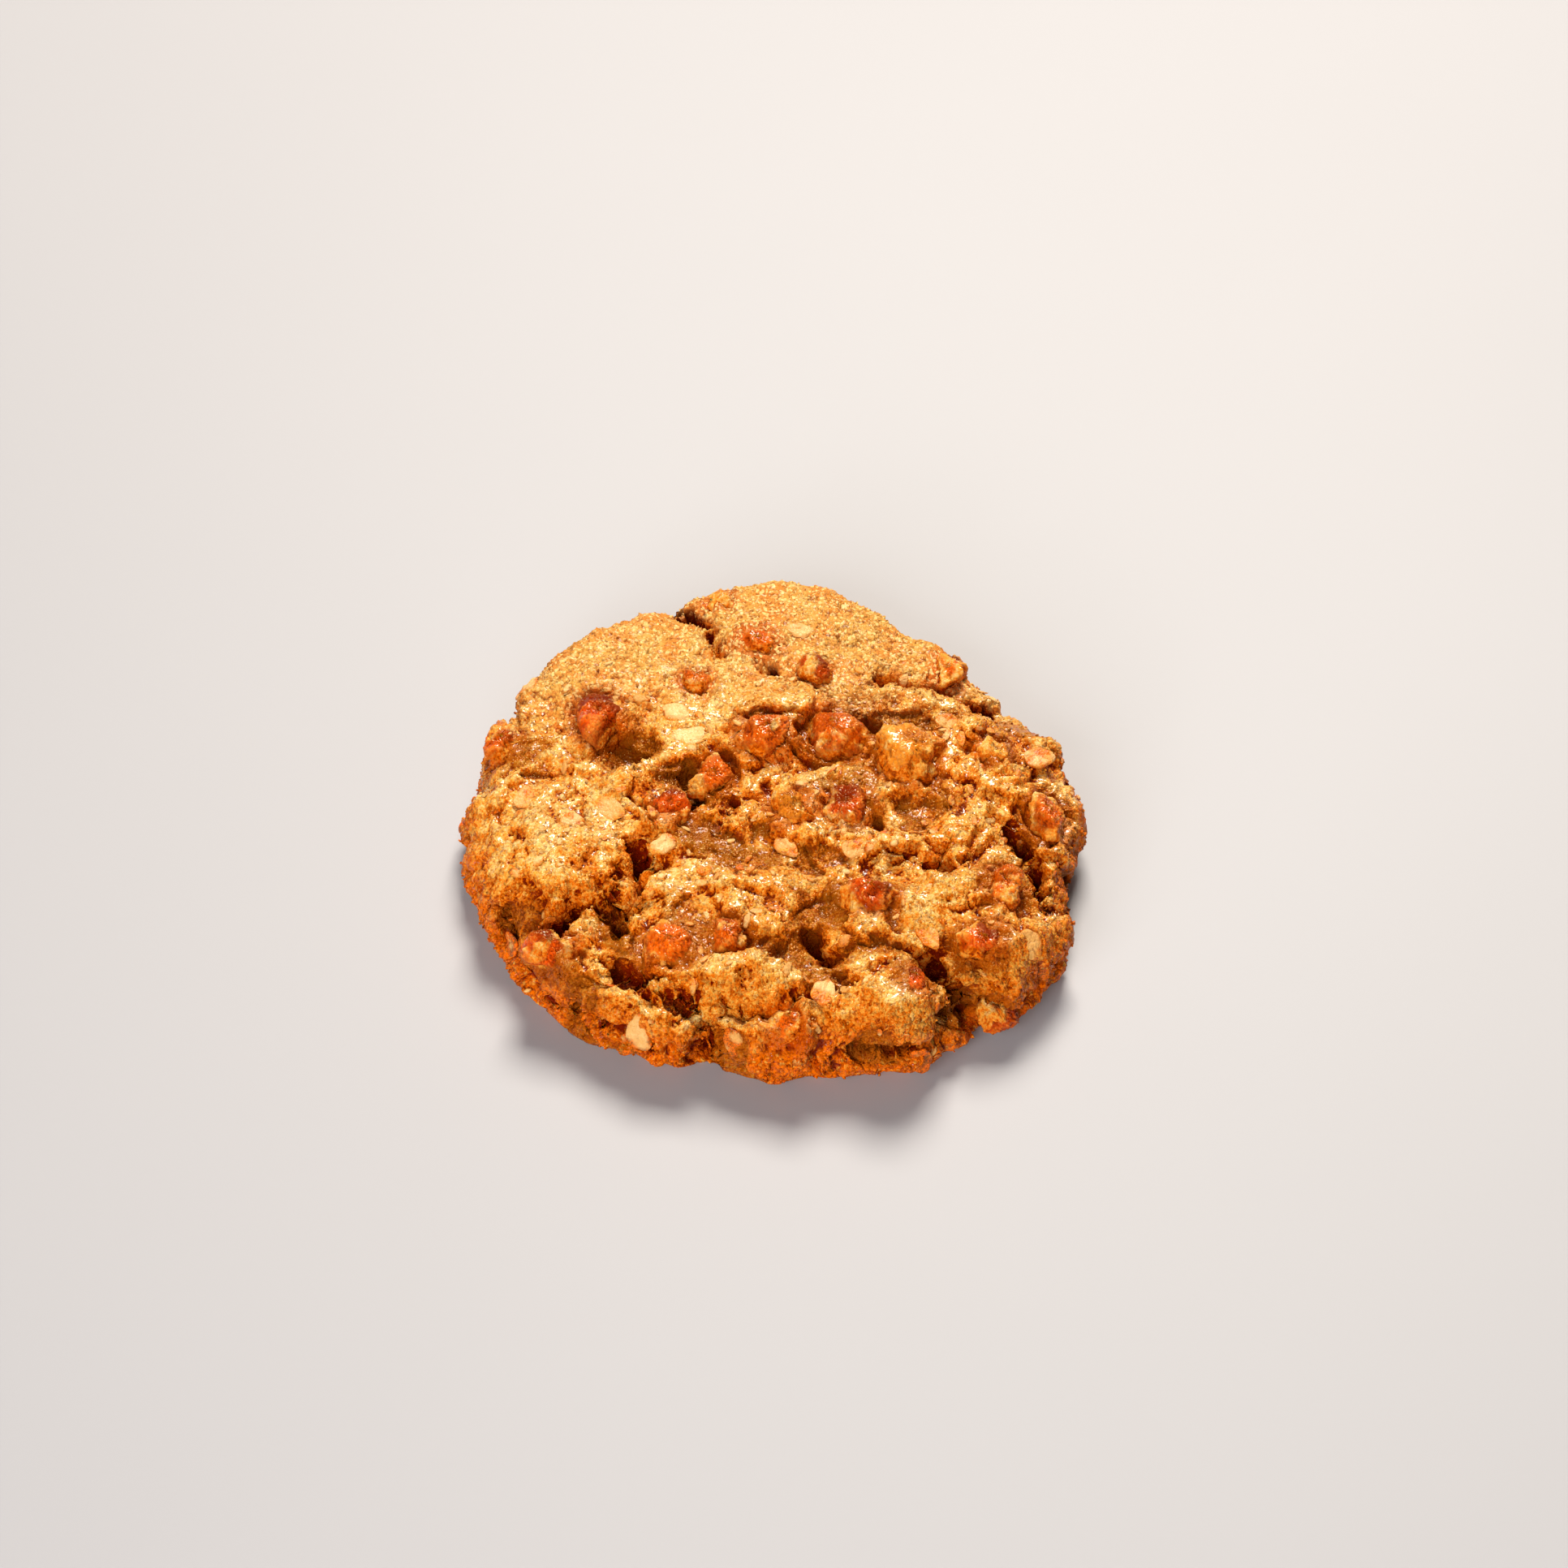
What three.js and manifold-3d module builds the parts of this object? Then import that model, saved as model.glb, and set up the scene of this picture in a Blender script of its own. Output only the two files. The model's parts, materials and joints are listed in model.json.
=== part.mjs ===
// Apple cookie: a thick, craggy oat cookie with baked apple pieces set into its dough.
// Millimetres, +Z up, origin at the middle of the flat base. The far side is +Y.

import * as THREE from 'three';
import { mergeVertices } from 'three/addons/utils/BufferGeometryUtils.js';
import Module from 'manifold-3d';

const { degToRad, radToDeg, euclideanModulo, lerp, mapLinear, smoothstep } = THREE.MathUtils;

// Driving dimensions of the cookie
const RADIUS = 50.4; // widest plan radius of the side wall
const CROWN_HEIGHT = 17.2; // middle of the top above the base
const SHOULDER_RADIUS = 44.2; // where the top turns over into the wall
const SHOULDER_HEIGHT = 13.6;
const WIDEST_HEIGHT = 5.0; // height at which the wall reaches RADIUS
const UNDERCUT_ANGLE = degToRad(52); // how far the wall tucks in at the base
const CROWN_POWER = 2.6; // 2 is a parabola, more keeps the middle flatter

// Mesh of the dough: rings of 6, 12, 18 ... points, so that the triangles are even
const RINGS = 30;
const TOP_SHARE = 0.76; // share of the rings that lies on the top

// Clearance between an apple piece and the pocket that it sits in
const POCKET_GAP = 0.36;

// Swells and dents of the plan outline, as a share of the radius
const OUTLINE_SWELLS = [
  { angle: 90, swell: 0.034, spread: 13 },
  { angle: 52, swell: 0.05, spread: 7 },
  { angle: 46, swell: -0.125, spread: 27 },
  { angle: 296, swell: 0.055, spread: 9 },
  { angle: 323, swell: 0.058, spread: 14 },
  { angle: 228, swell: 0.044, spread: 17 },
  { angle: 162, swell: -0.03, spread: 10 },
  { angle: 134, swell: 0.022, spread: 14 },
];

// Coarse lumps all over: each wave is smooth noise of one size
const LUMP_WAVES = [
  { wavelength: 13, rise: 1.5 },
  { wavelength: 6.2, rise: 1.3 },
  { wavelength: 4.1, rise: 0.9 },
];
const CRUST_CALM = 0.62; // share of the lumps that the smoother far crust loses

// Larger pieces of dough that stand up from the top or the wall, and hollows that go down
const MOUNDS = [
  { x: -35, y: -16, length: 21, width: 15, turn: 10, rise: 1.9 },
  { x: -3, y: -27, length: 17, width: 13, turn: -20, rise: 1.3 },
  { x: 19.5, y: -43, length: 19, width: 9, turn: 6, rise: 2.4 },
  { x: -4, y: -42, length: 20, width: 8, turn: -4, rise: 1.2 },
  { x: 26, y: -26, length: 15, width: 12, turn: 30, rise: 1.4 },
  { x: -29, y: 30, length: 30, width: 20, turn: 25, rise: 1.3 },
  { x: 3, y: 41, length: 36, width: 22, turn: -4, rise: 1.9 },
  { x: 14, y: 26, length: 20, width: 10, turn: -12, rise: 1.4 },
  { x: 31, y: 17, length: 15, width: 10, turn: -30, rise: 1.0 },
  { x: -41, y: -4, length: 12, width: 17, turn: 0, rise: 1.0 },
  { x: -22, y: 3.5, length: 9, width: 8, turn: 0, rise: 1.3 },
  { x: 1, y: 18, length: 9, width: 8, turn: 0, rise: 1.0 },
  { x: -14, y: 12, length: 12, width: 12, turn: 0, rise: 0.9 },
  { x: -24, y: 10, length: 8, width: 11, turn: -20, rise: -2.0 },
  { x: -4, y: -14, length: 20, width: 9, turn: -25, rise: -1.9 },
  { x: 20, y: -7, length: 13, width: 10, turn: 15, rise: -1.5 },
  { x: 21, y: 15, length: 15, width: 6, turn: 5, rise: -1.6 },
  { x: 8, y: -29, length: 7, width: 16, turn: 12, rise: -1.7 },
];

// Cracks and pits: each follows its points and tapers to nothing at its half width
const CRACKS = [
  { path: [[-9.8, 31], [-10.4, 36], [-14.5, 41], [-18, 46]], halfWidth: 2.0, depth: 5.0 },
  { path: [[17, 24.5], [21.5, 25], [25, 25.5], [28, 23], [35, 21]], halfWidth: 2.2, depth: 4.2 },
  { path: [[-22.6, -15], [-23, -20], [-26, -24.5], [-25.6, -28]], halfWidth: 2.3, depth: 6.0 },
  { path: [[-26, -24], [-31, -23], [-35, -28]], halfWidth: 1.9, depth: 4.0 },
  { path: [[39, -9.5], [40.5, -13], [42.5, -18], [44.5, -22]], halfWidth: 2.1, depth: 5.2 },
  { path: [[25, -36], [28, -39], [33, -42.5]], halfWidth: 2.4, depth: 5.2 },
  { path: [[-28, -34], [-23, -39], [-16, -42], [-11, -43.5], [1, -46]], halfWidth: 1.8, depth: 3.0 },
  { path: [[-12, -43], [-12.6, -48], [-12.8, -54]], halfWidth: 1.9, depth: 3.6 },
  { path: [[-14.5, 4], [-13, 1], [-12, -3]], halfWidth: 1.7, depth: 3.2 },
  { path: [[-7, -3], [-7.5, -8]], halfWidth: 1.9, depth: 3.4 },
  { path: [[26.5, -14], [26.3, -18]], halfWidth: 2.2, depth: 4.4 },
  { path: [[7, -31], [7.4, -35]], halfWidth: 1.9, depth: 3.2 },
  { path: [[-6, 14.5], [-8, 11]], halfWidth: 1.8, depth: 3.0 },
  { path: [[-3, 27], [0, 27]], halfWidth: 1.7, depth: 2.6 },
  { path: [[-45, 31], [-43, 27]], halfWidth: 2.0, depth: 3.2 },
];

// Undercuts in the wall, below pieces of dough that hang over
const WALL_CRACKS = [
  { path: [[284, 8.5], [291, 7.2], [298, 7.6], [304, 10]], halfWidth: 1.7, depth: 3.4 },
  { path: [[224, 5], [236, 7.5], [246, 6.5]], halfWidth: 1.8, depth: 2.2 },
  { path: [[328, 4.5], [338, 6.5], [348, 5]], halfWidth: 1.8, depth: 2.4 },
  { path: [[172, 6], [184, 7.5], [196, 5]], halfWidth: 1.8, depth: 2.2 },
  { path: [[118, 5.5], [128, 7.5], [139, 6]], halfWidth: 1.8, depth: 2.4 },
  { path: [[62, 6], [74, 5], [84, 7]], halfWidth: 1.8, depth: 2.6 },
  { path: [[18, 5], [28, 7], [38, 5.5]], halfWidth: 1.8, depth: 2.2 },
];

// Apple pieces. size is length, width and height before the turn about the vertical and the
// tilt about the length; proud is the share of the height that stands clear of the dough.
const APPLES = [
  { name: 'left', x: -29.5, y: 16, size: [8.2, 12.6, 8], turn: 8, tilt: 8, proud: 0.42, tone: 'ruby' },
  { name: 'middle', x: -1.2, y: 9.4, size: [10.4, 9, 9], turn: -8, tilt: 6, proud: 0.5, tone: 'amber' },
  { name: 'middle_right', x: 9.8, y: 11.6, size: [10.2, 11.6, 9], turn: 20, proud: 0.52, tone: 'amber' },
  { name: 'mound', x: 21.4, y: 5.8, size: [9.6, 12.4, 10], turn: -6, proud: 0.5, tone: 'toffee' },
  { name: 'wedge', x: -10.2, y: 2.2, size: [6.6, 9.6, 7], turn: -24, tilt: 10, proud: 0.42, tone: 'amber' },
  { name: 'ring', x: -17, y: -6, size: [6.6, 7.6, 6], tilt: 12, proud: 0.42, tone: 'ruby' },
  { name: 'brown', x: 2.6, y: -6.4, size: [6.4, 8.4, 7], turn: 14, tilt: 8, proud: 0.45, tone: 'toffee' },
  { name: 'dark', x: 11.2, y: -5.6, size: [8.6, 7.6, 6.6], turn: -14, tilt: 14, proud: 0.44, tone: 'ruby' },
  { name: 'peel', x: 14.8, y: -24.6, size: [11, 6.4, 5], turn: 6, tilt: 26, proud: 0.5, tone: 'ruby' },
  { name: 'rim_left', x: -36.4, y: -32.4, size: [10, 7.6, 6], turn: -22, tilt: 34, proud: 0.46, tone: 'ruby' },
  { name: 'near_left', x: -17, y: -34, size: [9.6, 8, 7], turn: -16, tilt: 18, proud: 0.46, tone: 'amber' },
  { name: 'near', x: -7.6, y: -32.4, size: [6.2, 6, 6], turn: 20, tilt: 10, proud: 0.42, tone: 'amber' },
  { name: 'near_right', x: 32.6, y: -32.6, size: [9, 6.6, 6], turn: 24, tilt: 24, proud: 0.44, tone: 'ruby' },
  { name: 'slab', x: 21.6, y: -40.6, size: [5.2, 6, 5.4], tilt: 16, proud: 0.42, tone: 'ruby' },
  { name: 'right_bump', x: 36.4, y: -20.4, size: [7.8, 9.4, 7], turn: -18, proud: 0.44, tone: 'amber' },
  { name: 'right_edge', x: 44.2, y: -4.6, size: [6.6, 10.6, 7], turn: 8, proud: 0.48, tone: 'amber' },
  { name: 'right', x: 35.4, y: 7.4, size: [5.6, 5.4, 5.6], turn: 30, proud: 0.4, tone: 'toffee' },
  { name: 'under_crust', x: 28.8, y: 28.4, size: [4.6, 11, 7], turn: -18, proud: 0.46, tone: 'amber' },
  { name: 'far', x: -3, y: 32.2, size: [7, 6.6, 6], turn: 12, proud: 0.4, tone: 'amber' },
  { name: 'far_left', x: -13.2, y: 24, size: [4.6, 5.4, 5], turn: 22, proud: 0.42, tone: 'amber' },
  { name: 'far_right', x: 6.4, y: 25.4, size: [4, 4.8, 4.4], turn: 35, proud: 0.42, tone: 'ruby' },
  { name: 'far_crust', x: -9.4, y: 44, size: [4, 5.4, 4.4], turn: 20, proud: 0.36, tone: 'toffee' },
  { name: 'left_edge', x: -44.6, y: 11.6, size: [6, 9.2, 6.4], turn: -10, proud: 0.44, tone: 'amber' },
  { name: 'wall_near', angle: 272, height: 12, size: [6, 5.4, 6], proud: 0.34, tone: 'amber' },
  { name: 'wall_right', angle: 312, height: 4.6, size: [8, 6.4, 6], proud: 0.52, tone: 'ruby' },
  { name: 'wall_far_right', angle: 50, height: 6, size: [8, 6, 7], proud: 0.4, tone: 'ruby' },
  { name: 'wall_far', angle: 98, height: 6.4, size: [9, 6.6, 7], proud: 0.14, tone: 'amber' },
  { name: 'wall_far_left', angle: 124, height: 6, size: [7.6, 6, 6.4], proud: 0.38, tone: 'ruby' },
];
const APPLE_SQUARENESS = 0.72; // 1 is a plain ellipsoid, less is closer to a diced cube
const APPLE_UNEVEN = 0.16; // depth of each piece's own dents, as a share of its radius

// Rolled oat flakes that lie on the dough, as seen from above
const FLAKES = [
  { x: -14.6, y: 10.9, length: 7, width: 5.2, turn: 24, lift: 10 },
  { x: -16.2, y: 16.4, length: 5.2, width: 4, turn: -30, lift: 12 },
  { x: 1.6, y: -13.6, length: 4.6, width: 3.6, turn: -50, lift: 14 },
  { x: -17.8, y: -13.6, length: 5.4, width: 4, turn: 40, lift: 16 },
  { x: 43, y: 8, length: 5.2, width: 3.8, turn: 20, lift: 10 },
  { x: -40.8, y: 26.6, length: 5, width: 4, turn: 35, lift: 8 },
  { x: -41.6, y: 33, length: 4.8, width: 3.6, turn: 70, lift: 14 },
  { x: 4, y: 35, length: 4.2, width: 3.2, turn: 0, lift: 8 },
  { x: 28, y: 13.4, length: 4.4, width: 3.4, turn: 60, lift: 12 },
  { x: -41, y: -1, length: 4.6, width: 3.6, turn: 75, lift: 10 },
  { x: 24, y: -31.6, length: 5, width: 3.6, turn: -55, lift: 14 },
  { x: 39.4, y: -31.4, length: 5, width: 3.8, turn: -40, lift: 12 },
  { x: 13, y: -13.4, length: 4.6, width: 3.6, turn: 30, lift: 14 },
  { x: -27, y: -5, length: 5, width: 3.8, turn: -35, lift: 14 },
  { x: -33, y: -8, length: 4.4, width: 3.4, turn: 15, lift: 10 },
  { x: 7.4, y: -43, length: 4.8, width: 3.6, turn: 70, lift: 10 },
  { angle: 245, height: 9, length: 6.4, width: 4.6, turn: 70, lift: 8 },
];
const FLAKE_THICKNESS = 1.3;
const FLAKE_STAND = 0.4; // height of a flake's middle above the dough

// Flakes in the wall: a golden-angle walk, skipped where an apple piece is close
const WALL_FLAKE_COUNT = 22;
const WALL_FLAKE_SIZE = [5.4, 4];
const WALL_FLAKE_HEIGHTS = [4.2, 10.2];
const GOLDEN_ANGLE = Math.PI * (3 - Math.sqrt(5));
const FLAKE_CLEARANCE = 0.4; // room kept between a flake and the box round any apple piece

// Colours seen on the baked surfaces
const DOUGH_COLOUR = 0xdb9a4c;
const APPLE_COLOURS = { ruby: 0xa63a12, amber: 0xd0661f, toffee: 0xb87634 };

const wasm = await Module();
wasm.setup();

// Repeatable value in 0..1 for one lattice corner
function cornerValue(i, j, k) {
  const wave = Math.sin(i * 12.9898 + j * 78.233 + k * 37.719) * 43758.5453;
  return wave - Math.floor(wave);
}

// Smooth noise in -1..1: corner values of a cubic lattice, eased between the corners
function smoothNoise(x, y, z) {
  const i = Math.floor(x);
  const j = Math.floor(y);
  const k = Math.floor(z);
  const ease = (share) => share * share * (3 - 2 * share);
  const a = ease(x - i);
  const b = ease(y - j);
  const c = ease(z - k);
  const edge = (dj, dk) => lerp(cornerValue(i, j + dj, k + dk), cornerValue(i + 1, j + dj, k + dk), a);
  const face = (dk) => lerp(edge(0, dk), edge(1, dk), b);
  return 2 * lerp(face(0), face(1), c) - 1;
}

// Plan radius at an angle, as a share of the round cookie's
function outlineShare(angle) {
  let share = 1;
  for (const { angle: middle, swell, spread } of OUTLINE_SWELLS) {
    const apart = euclideanModulo(radToDeg(angle) - middle + 180, 360) - 180;
    share += swell * Math.exp(-((apart / spread) ** 2));
  }
  return share;
}

// Radius and height of the round cookie's section: t = 0 is the crown, 1 the edge of the base
function section(t) {
  if (t <= TOP_SHARE) {
    const share = t / TOP_SHARE;
    const drop = (CROWN_HEIGHT - SHOULDER_HEIGHT) * share ** CROWN_POWER;
    return [share * SHOULDER_RADIUS, CROWN_HEIGHT - drop];
  }
  const slope = mapLinear(t, TOP_SHARE, 1, Math.PI / 2, -UNDERCUT_ANGLE);
  const radius = SHOULDER_RADIUS + (RADIUS - SHOULDER_RADIUS) * Math.cos(slope);
  if (slope > 0) return [radius, WIDEST_HEIGHT + (SHOULDER_HEIGHT - WIDEST_HEIGHT) * Math.sin(slope)];
  return [radius, WIDEST_HEIGHT * (1 + Math.sin(slope) / Math.sin(UNDERCUT_ANGLE))];
}

// Point of the plain cookie, before any relief
function plainPoint(t, angle) {
  const [radius, height] = section(t);
  const reach = radius * outlineShare(angle);
  return new THREE.Vector3(reach * Math.cos(angle), reach * Math.sin(angle), height);
}

// Direction in which relief stands: the outward normal, level below the widest part
function reliefDirection(t, angle) {
  const step = 0.004;
  const along = plainPoint(Math.min(t + step, 1), angle).sub(plainPoint(Math.max(t - step, 0), angle));
  const around = plainPoint(t, angle + step).sub(plainPoint(t, angle - step));
  const normal = along.cross(around);
  if (normal.lengthSq() < 1e-9) return new THREE.Vector3(0, 0, 1);
  normal.z = Math.max(normal.z, 0);
  return normal.normalize();
}

// Section share of the wall's arc at a slope, from upright at the shoulder to tucked in at the base
function wallShare(slope) {
  return mapLinear(slope, Math.PI / 2, -UNDERCUT_ANGLE, TOP_SHARE, 1);
}

// Section share of a spot on the top (x, y) or on the wall (angle in degrees, height)
function locate(spot) {
  if (spot.height === undefined) {
    const angle = Math.atan2(spot.y, spot.x);
    const radius = Math.hypot(spot.x, spot.y) / outlineShare(angle);
    if (radius <= SHOULDER_RADIUS) return { t: (TOP_SHARE * radius) / SHOULDER_RADIUS, angle };
    const reach = Math.min((radius - SHOULDER_RADIUS) / (RADIUS - SHOULDER_RADIUS), 1);
    return { t: wallShare(Math.acos(reach)), angle };
  }
  const angle = degToRad(spot.angle);
  const slope = spot.height > WIDEST_HEIGHT
    ? Math.asin((spot.height - WIDEST_HEIGHT) / (SHOULDER_HEIGHT - WIDEST_HEIGHT))
    : -Math.asin((1 - spot.height / WIDEST_HEIGHT) * Math.sin(UNDERCUT_ANGLE));
  return { t: wallShare(slope), angle };
}

function plainSpot(spot) {
  const { t, angle } = locate(spot);
  return plainPoint(t, angle);
}

// Mounds and cracks with their places worked out on the plain cookie
const mounds = MOUNDS.map((mound) => ({ ...mound, centre: plainSpot(mound) }));
const cracks = [
  ...CRACKS.map((crack) => ({ ...crack, points: crack.path.map(([x, y]) => plainSpot({ x, y })) })),
  ...WALL_CRACKS.map((crack) => ({
    ...crack,
    points: crack.path.map(([angle, height]) => plainSpot({ angle, height })),
  })),
];

// How smooth the far crust is at a point: 0 is craggy, 1 is crust
function crustShare(point) {
  return smoothstep(point.y + 5 * smoothNoise(point.x / 11, point.y / 11, 4.5), 12, 30);
}

function moundRise(mound, point) {
  const turn = degToRad(mound.turn);
  const dx = point.x - mound.centre.x;
  const dy = point.y - mound.centre.y;
  const along = (dx * Math.cos(turn) + dy * Math.sin(turn)) / (mound.length / 2);
  const across = (dy * Math.cos(turn) - dx * Math.sin(turn)) / (mound.width / 2);
  const down = (point.z - mound.centre.z) / (mound.width / 2);
  return mound.rise * Math.exp(-((along ** 2 + across ** 2 + down ** 2) ** 2));
}

function crackDepth(crack, point) {
  const line = new THREE.Line3();
  const nearest = new THREE.Vector3();
  let distance = Infinity;
  for (let i = 0; i + 1 < crack.points.length; i += 1) {
    line.set(crack.points[i], crack.points[i + 1]);
    line.closestPointToPoint(point, true, nearest);
    distance = Math.min(distance, nearest.distanceTo(point));
  }
  return crack.depth * Math.exp(-((distance / crack.halfWidth) ** 2));
}

// Height of the dough's surface above the plain cookie
function relief(point) {
  let rise = 0;
  for (const { wavelength, rise: swing } of LUMP_WAVES) {
    rise += swing * smoothNoise(point.x / wavelength, point.y / wavelength, point.z / wavelength);
  }
  rise *= 1 - CRUST_CALM * crustShare(point);
  for (const mound of mounds) rise += moundRise(mound, point);
  let cut = 0;
  for (const crack of cracks) cut = Math.max(cut, crackDepth(crack, point));
  return rise - cut;
}

// Point of the dough's surface, with the direction that its relief stands in
function skin(t, angle) {
  const plain = plainPoint(t, angle);
  const normal = reliefDirection(t, angle);
  return { point: plain.clone().addScaledVector(normal, relief(plain)), normal };
}

// Dough: rings of points over the top and down the wall, closed by a flat base
function doughGeometry() {
  const positions = [];
  const triangles = [];
  const ringStart = (ring) => (ring === 0 ? 0 : 1 + 3 * ring * (ring - 1));
  const index = (ring, step) => ringStart(ring) + (ring === 0 ? 0 : step % (6 * ring));
  for (let ring = 0; ring <= RINGS; ring += 1) {
    for (let step = 0; step < Math.max(6 * ring, 1); step += 1) {
      const angle = (2 * Math.PI * step) / Math.max(6 * ring, 1);
      positions.push(...skin(ring / RINGS, angle).point.toArray());
    }
  }
  for (let ring = 0; ring < RINGS; ring += 1) {
    for (let sector = 0; sector < 6; sector += 1) {
      for (let step = 0; step <= ring; step += 1) {
        const inner = index(ring, sector * ring + step);
        const outer = sector * (ring + 1) + step;
        triangles.push(inner, index(ring + 1, outer), index(ring + 1, outer + 1));
        if (step === ring) continue;
        triangles.push(inner, index(ring + 1, outer + 1), index(ring, sector * ring + step + 1));
      }
    }
  }
  const baseMiddle = positions.length / 3;
  positions.push(0, 0, 0);
  for (let step = 0; step < 6 * RINGS; step += 1) {
    triangles.push(baseMiddle, index(RINGS, step + 1), index(RINGS, step));
  }
  const geometry = new THREE.BufferGeometry();
  geometry.setAttribute('position', new THREE.Float32BufferAttribute(positions, 3));
  geometry.setIndex(triangles);
  return geometry;
}

// A three.js primitive with shared vertices and nothing but its positions
function weld(geometry) {
  geometry.deleteAttribute('normal');
  geometry.deleteAttribute('uv');
  return mergeVertices(geometry);
}

// Turn that stands +Z of a piece along the surface normal, after its own turn and tilt
function seat(normal, turn = 0, tilt = 0) {
  const own = new THREE.Euler(degToRad(tilt), 0, degToRad(turn), 'ZXY');
  const stand = new THREE.Quaternion().setFromUnitVectors(new THREE.Vector3(0, 0, 1), normal);
  return stand.multiply(new THREE.Quaternion().setFromEuler(own));
}

// Apple piece: an uneven ball squared off like diced fruit, seated in the dough
function appleGeometry(piece, number) {
  const [length, width, height] = piece.size;
  const geometry = weld(new THREE.IcosahedronGeometry(1, 1));
  const corners = geometry.getAttribute('position');
  const corner = new THREE.Vector3();
  const square = (value) => Math.sign(value) * Math.abs(value) ** APPLE_SQUARENESS;
  for (let i = 0; i < corners.count; i += 1) {
    corner.fromBufferAttribute(corners, i).normalize();
    const dent = smoothNoise(corner.x * 1.3 + 7 * number, corner.y * 1.3, corner.z * 1.3);
    corner.set(square(corner.x) * length, square(corner.y) * width, square(corner.z) * height);
    corner.multiplyScalar(0.5 * (1 + APPLE_UNEVEN * (dent - 0.5)));
    corners.setXYZ(i, corner.x, corner.y, corner.z);
  }
  const { t, angle } = locate(piece);
  const { point, normal } = skin(t, angle);
  geometry.applyQuaternion(seat(normal, piece.turn, piece.tilt));
  const centre = point.addScaledVector(normal, (piece.proud - 0.5) * height);
  geometry.translate(centre.x, centre.y, centre.z);
  return geometry;
}

// The same surface moved outwards along its normals
function grown(geometry, distance) {
  const result = geometry.clone();
  result.computeVertexNormals();
  const corners = result.getAttribute('position');
  const normals = result.getAttribute('normal');
  for (let i = 0; i < corners.count; i += 1) {
    corners.setXYZ(
      i,
      corners.getX(i) + distance * normals.getX(i),
      corners.getY(i) + distance * normals.getY(i),
      corners.getZ(i) + distance * normals.getZ(i),
    );
  }
  result.deleteAttribute('normal');
  return result;
}

// Oat flake: a thin oval lens lying on the dough, one side a little raised
function flakeGeometry({ length, width, turn, lift, centre, normal }) {
  const geometry = weld(new THREE.SphereGeometry(1, 7, 3).rotateX(Math.PI / 2));
  geometry.scale(length / 2, width / 2, FLAKE_THICKNESS / 2);
  geometry.applyQuaternion(seat(normal, turn, lift));
  geometry.translate(centre.x, centre.y, centre.z);
  return geometry;
}

// A flake with its middle and its surface normal on the dough
function placedFlake(flake) {
  const { t, angle } = locate(flake);
  const { point, normal } = skin(t, angle);
  return { ...flake, centre: point.addScaledVector(normal, FLAKE_STAND), normal };
}

function wallFlakes() {
  const [low, high] = WALL_FLAKE_HEIGHTS;
  return Array.from({ length: WALL_FLAKE_COUNT }, (_, number) => ({
    angle: radToDeg(number * GOLDEN_ANGLE),
    height: lerp(low, high, cornerValue(number, 3, 1)),
    length: WALL_FLAKE_SIZE[0] * lerp(0.8, 1.2, cornerValue(number, 5, 2)),
    width: WALL_FLAKE_SIZE[1],
    turn: 360 * cornerValue(number, 7, 3),
    lift: 18 * cornerValue(number, 9, 4),
  }));
}

function solidOf(geometry) {
  const vertProperties = new Float32Array(geometry.getAttribute('position').array);
  const triVerts = new Uint32Array(geometry.getIndex().array);
  return new wasm.Manifold(new wasm.Mesh({ numProp: 3, vertProperties, triVerts }));
}

function geometryOf(solid) {
  const { vertProperties, triVerts } = solid.getMesh();
  const geometry = new THREE.BufferGeometry();
  geometry.setAttribute('position', new THREE.BufferAttribute(vertProperties, 3));
  geometry.setIndex(new THREE.BufferAttribute(triVerts, 1));
  return geometry;
}

// The largest body of a solid, without any loose scrap
function largestBody(solid) {
  return solid.decompose().reduce((best, body) => (body.volume() > best.volume() ? body : best));
}

function finish(colour, roughness) {
  return new THREE.MeshStandardMaterial({ color: colour, roughness, metalness: 0 });
}

const appleGeometries = APPLES.map(appleGeometry);
const appleBoxes = appleGeometries.map((geometry) => {
  return new THREE.Box3().setFromBufferAttribute(geometry.getAttribute('position'));
});

const flakes = [...FLAKES, ...wallFlakes()].map(placedFlake).filter(({ centre, length }) => {
  return appleBoxes.every((box) => box.distanceToPoint(centre) > length / 2 + FLAKE_CLEARANCE);
});

let doughSolid = solidOf(doughGeometry());
for (const flake of flakes) doughSolid = doughSolid.add(solidOf(flakeGeometry(flake)));
for (const geometry of appleGeometries) {
  doughSolid = doughSolid.subtract(solidOf(grown(geometry, POCKET_GAP)));
}

const cookie = new THREE.Group();

const dough = new THREE.Mesh(geometryOf(largestBody(doughSolid)), finish(DOUGH_COLOUR, 0.75));
dough.name = 'dough';
cookie.add(dough);

APPLES.forEach((piece, number) => {
  const apple = new THREE.Mesh(appleGeometries[number], finish(APPLE_COLOURS[piece.tone], 0.3));
  apple.name = `apple_${piece.name}`;
  cookie.add(apple);
});

export default cookie;
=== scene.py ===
# Apple cookie: baked dough, apple pieces, oat flakes and crumbs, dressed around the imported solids.

import itertools
import json
import math

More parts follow.
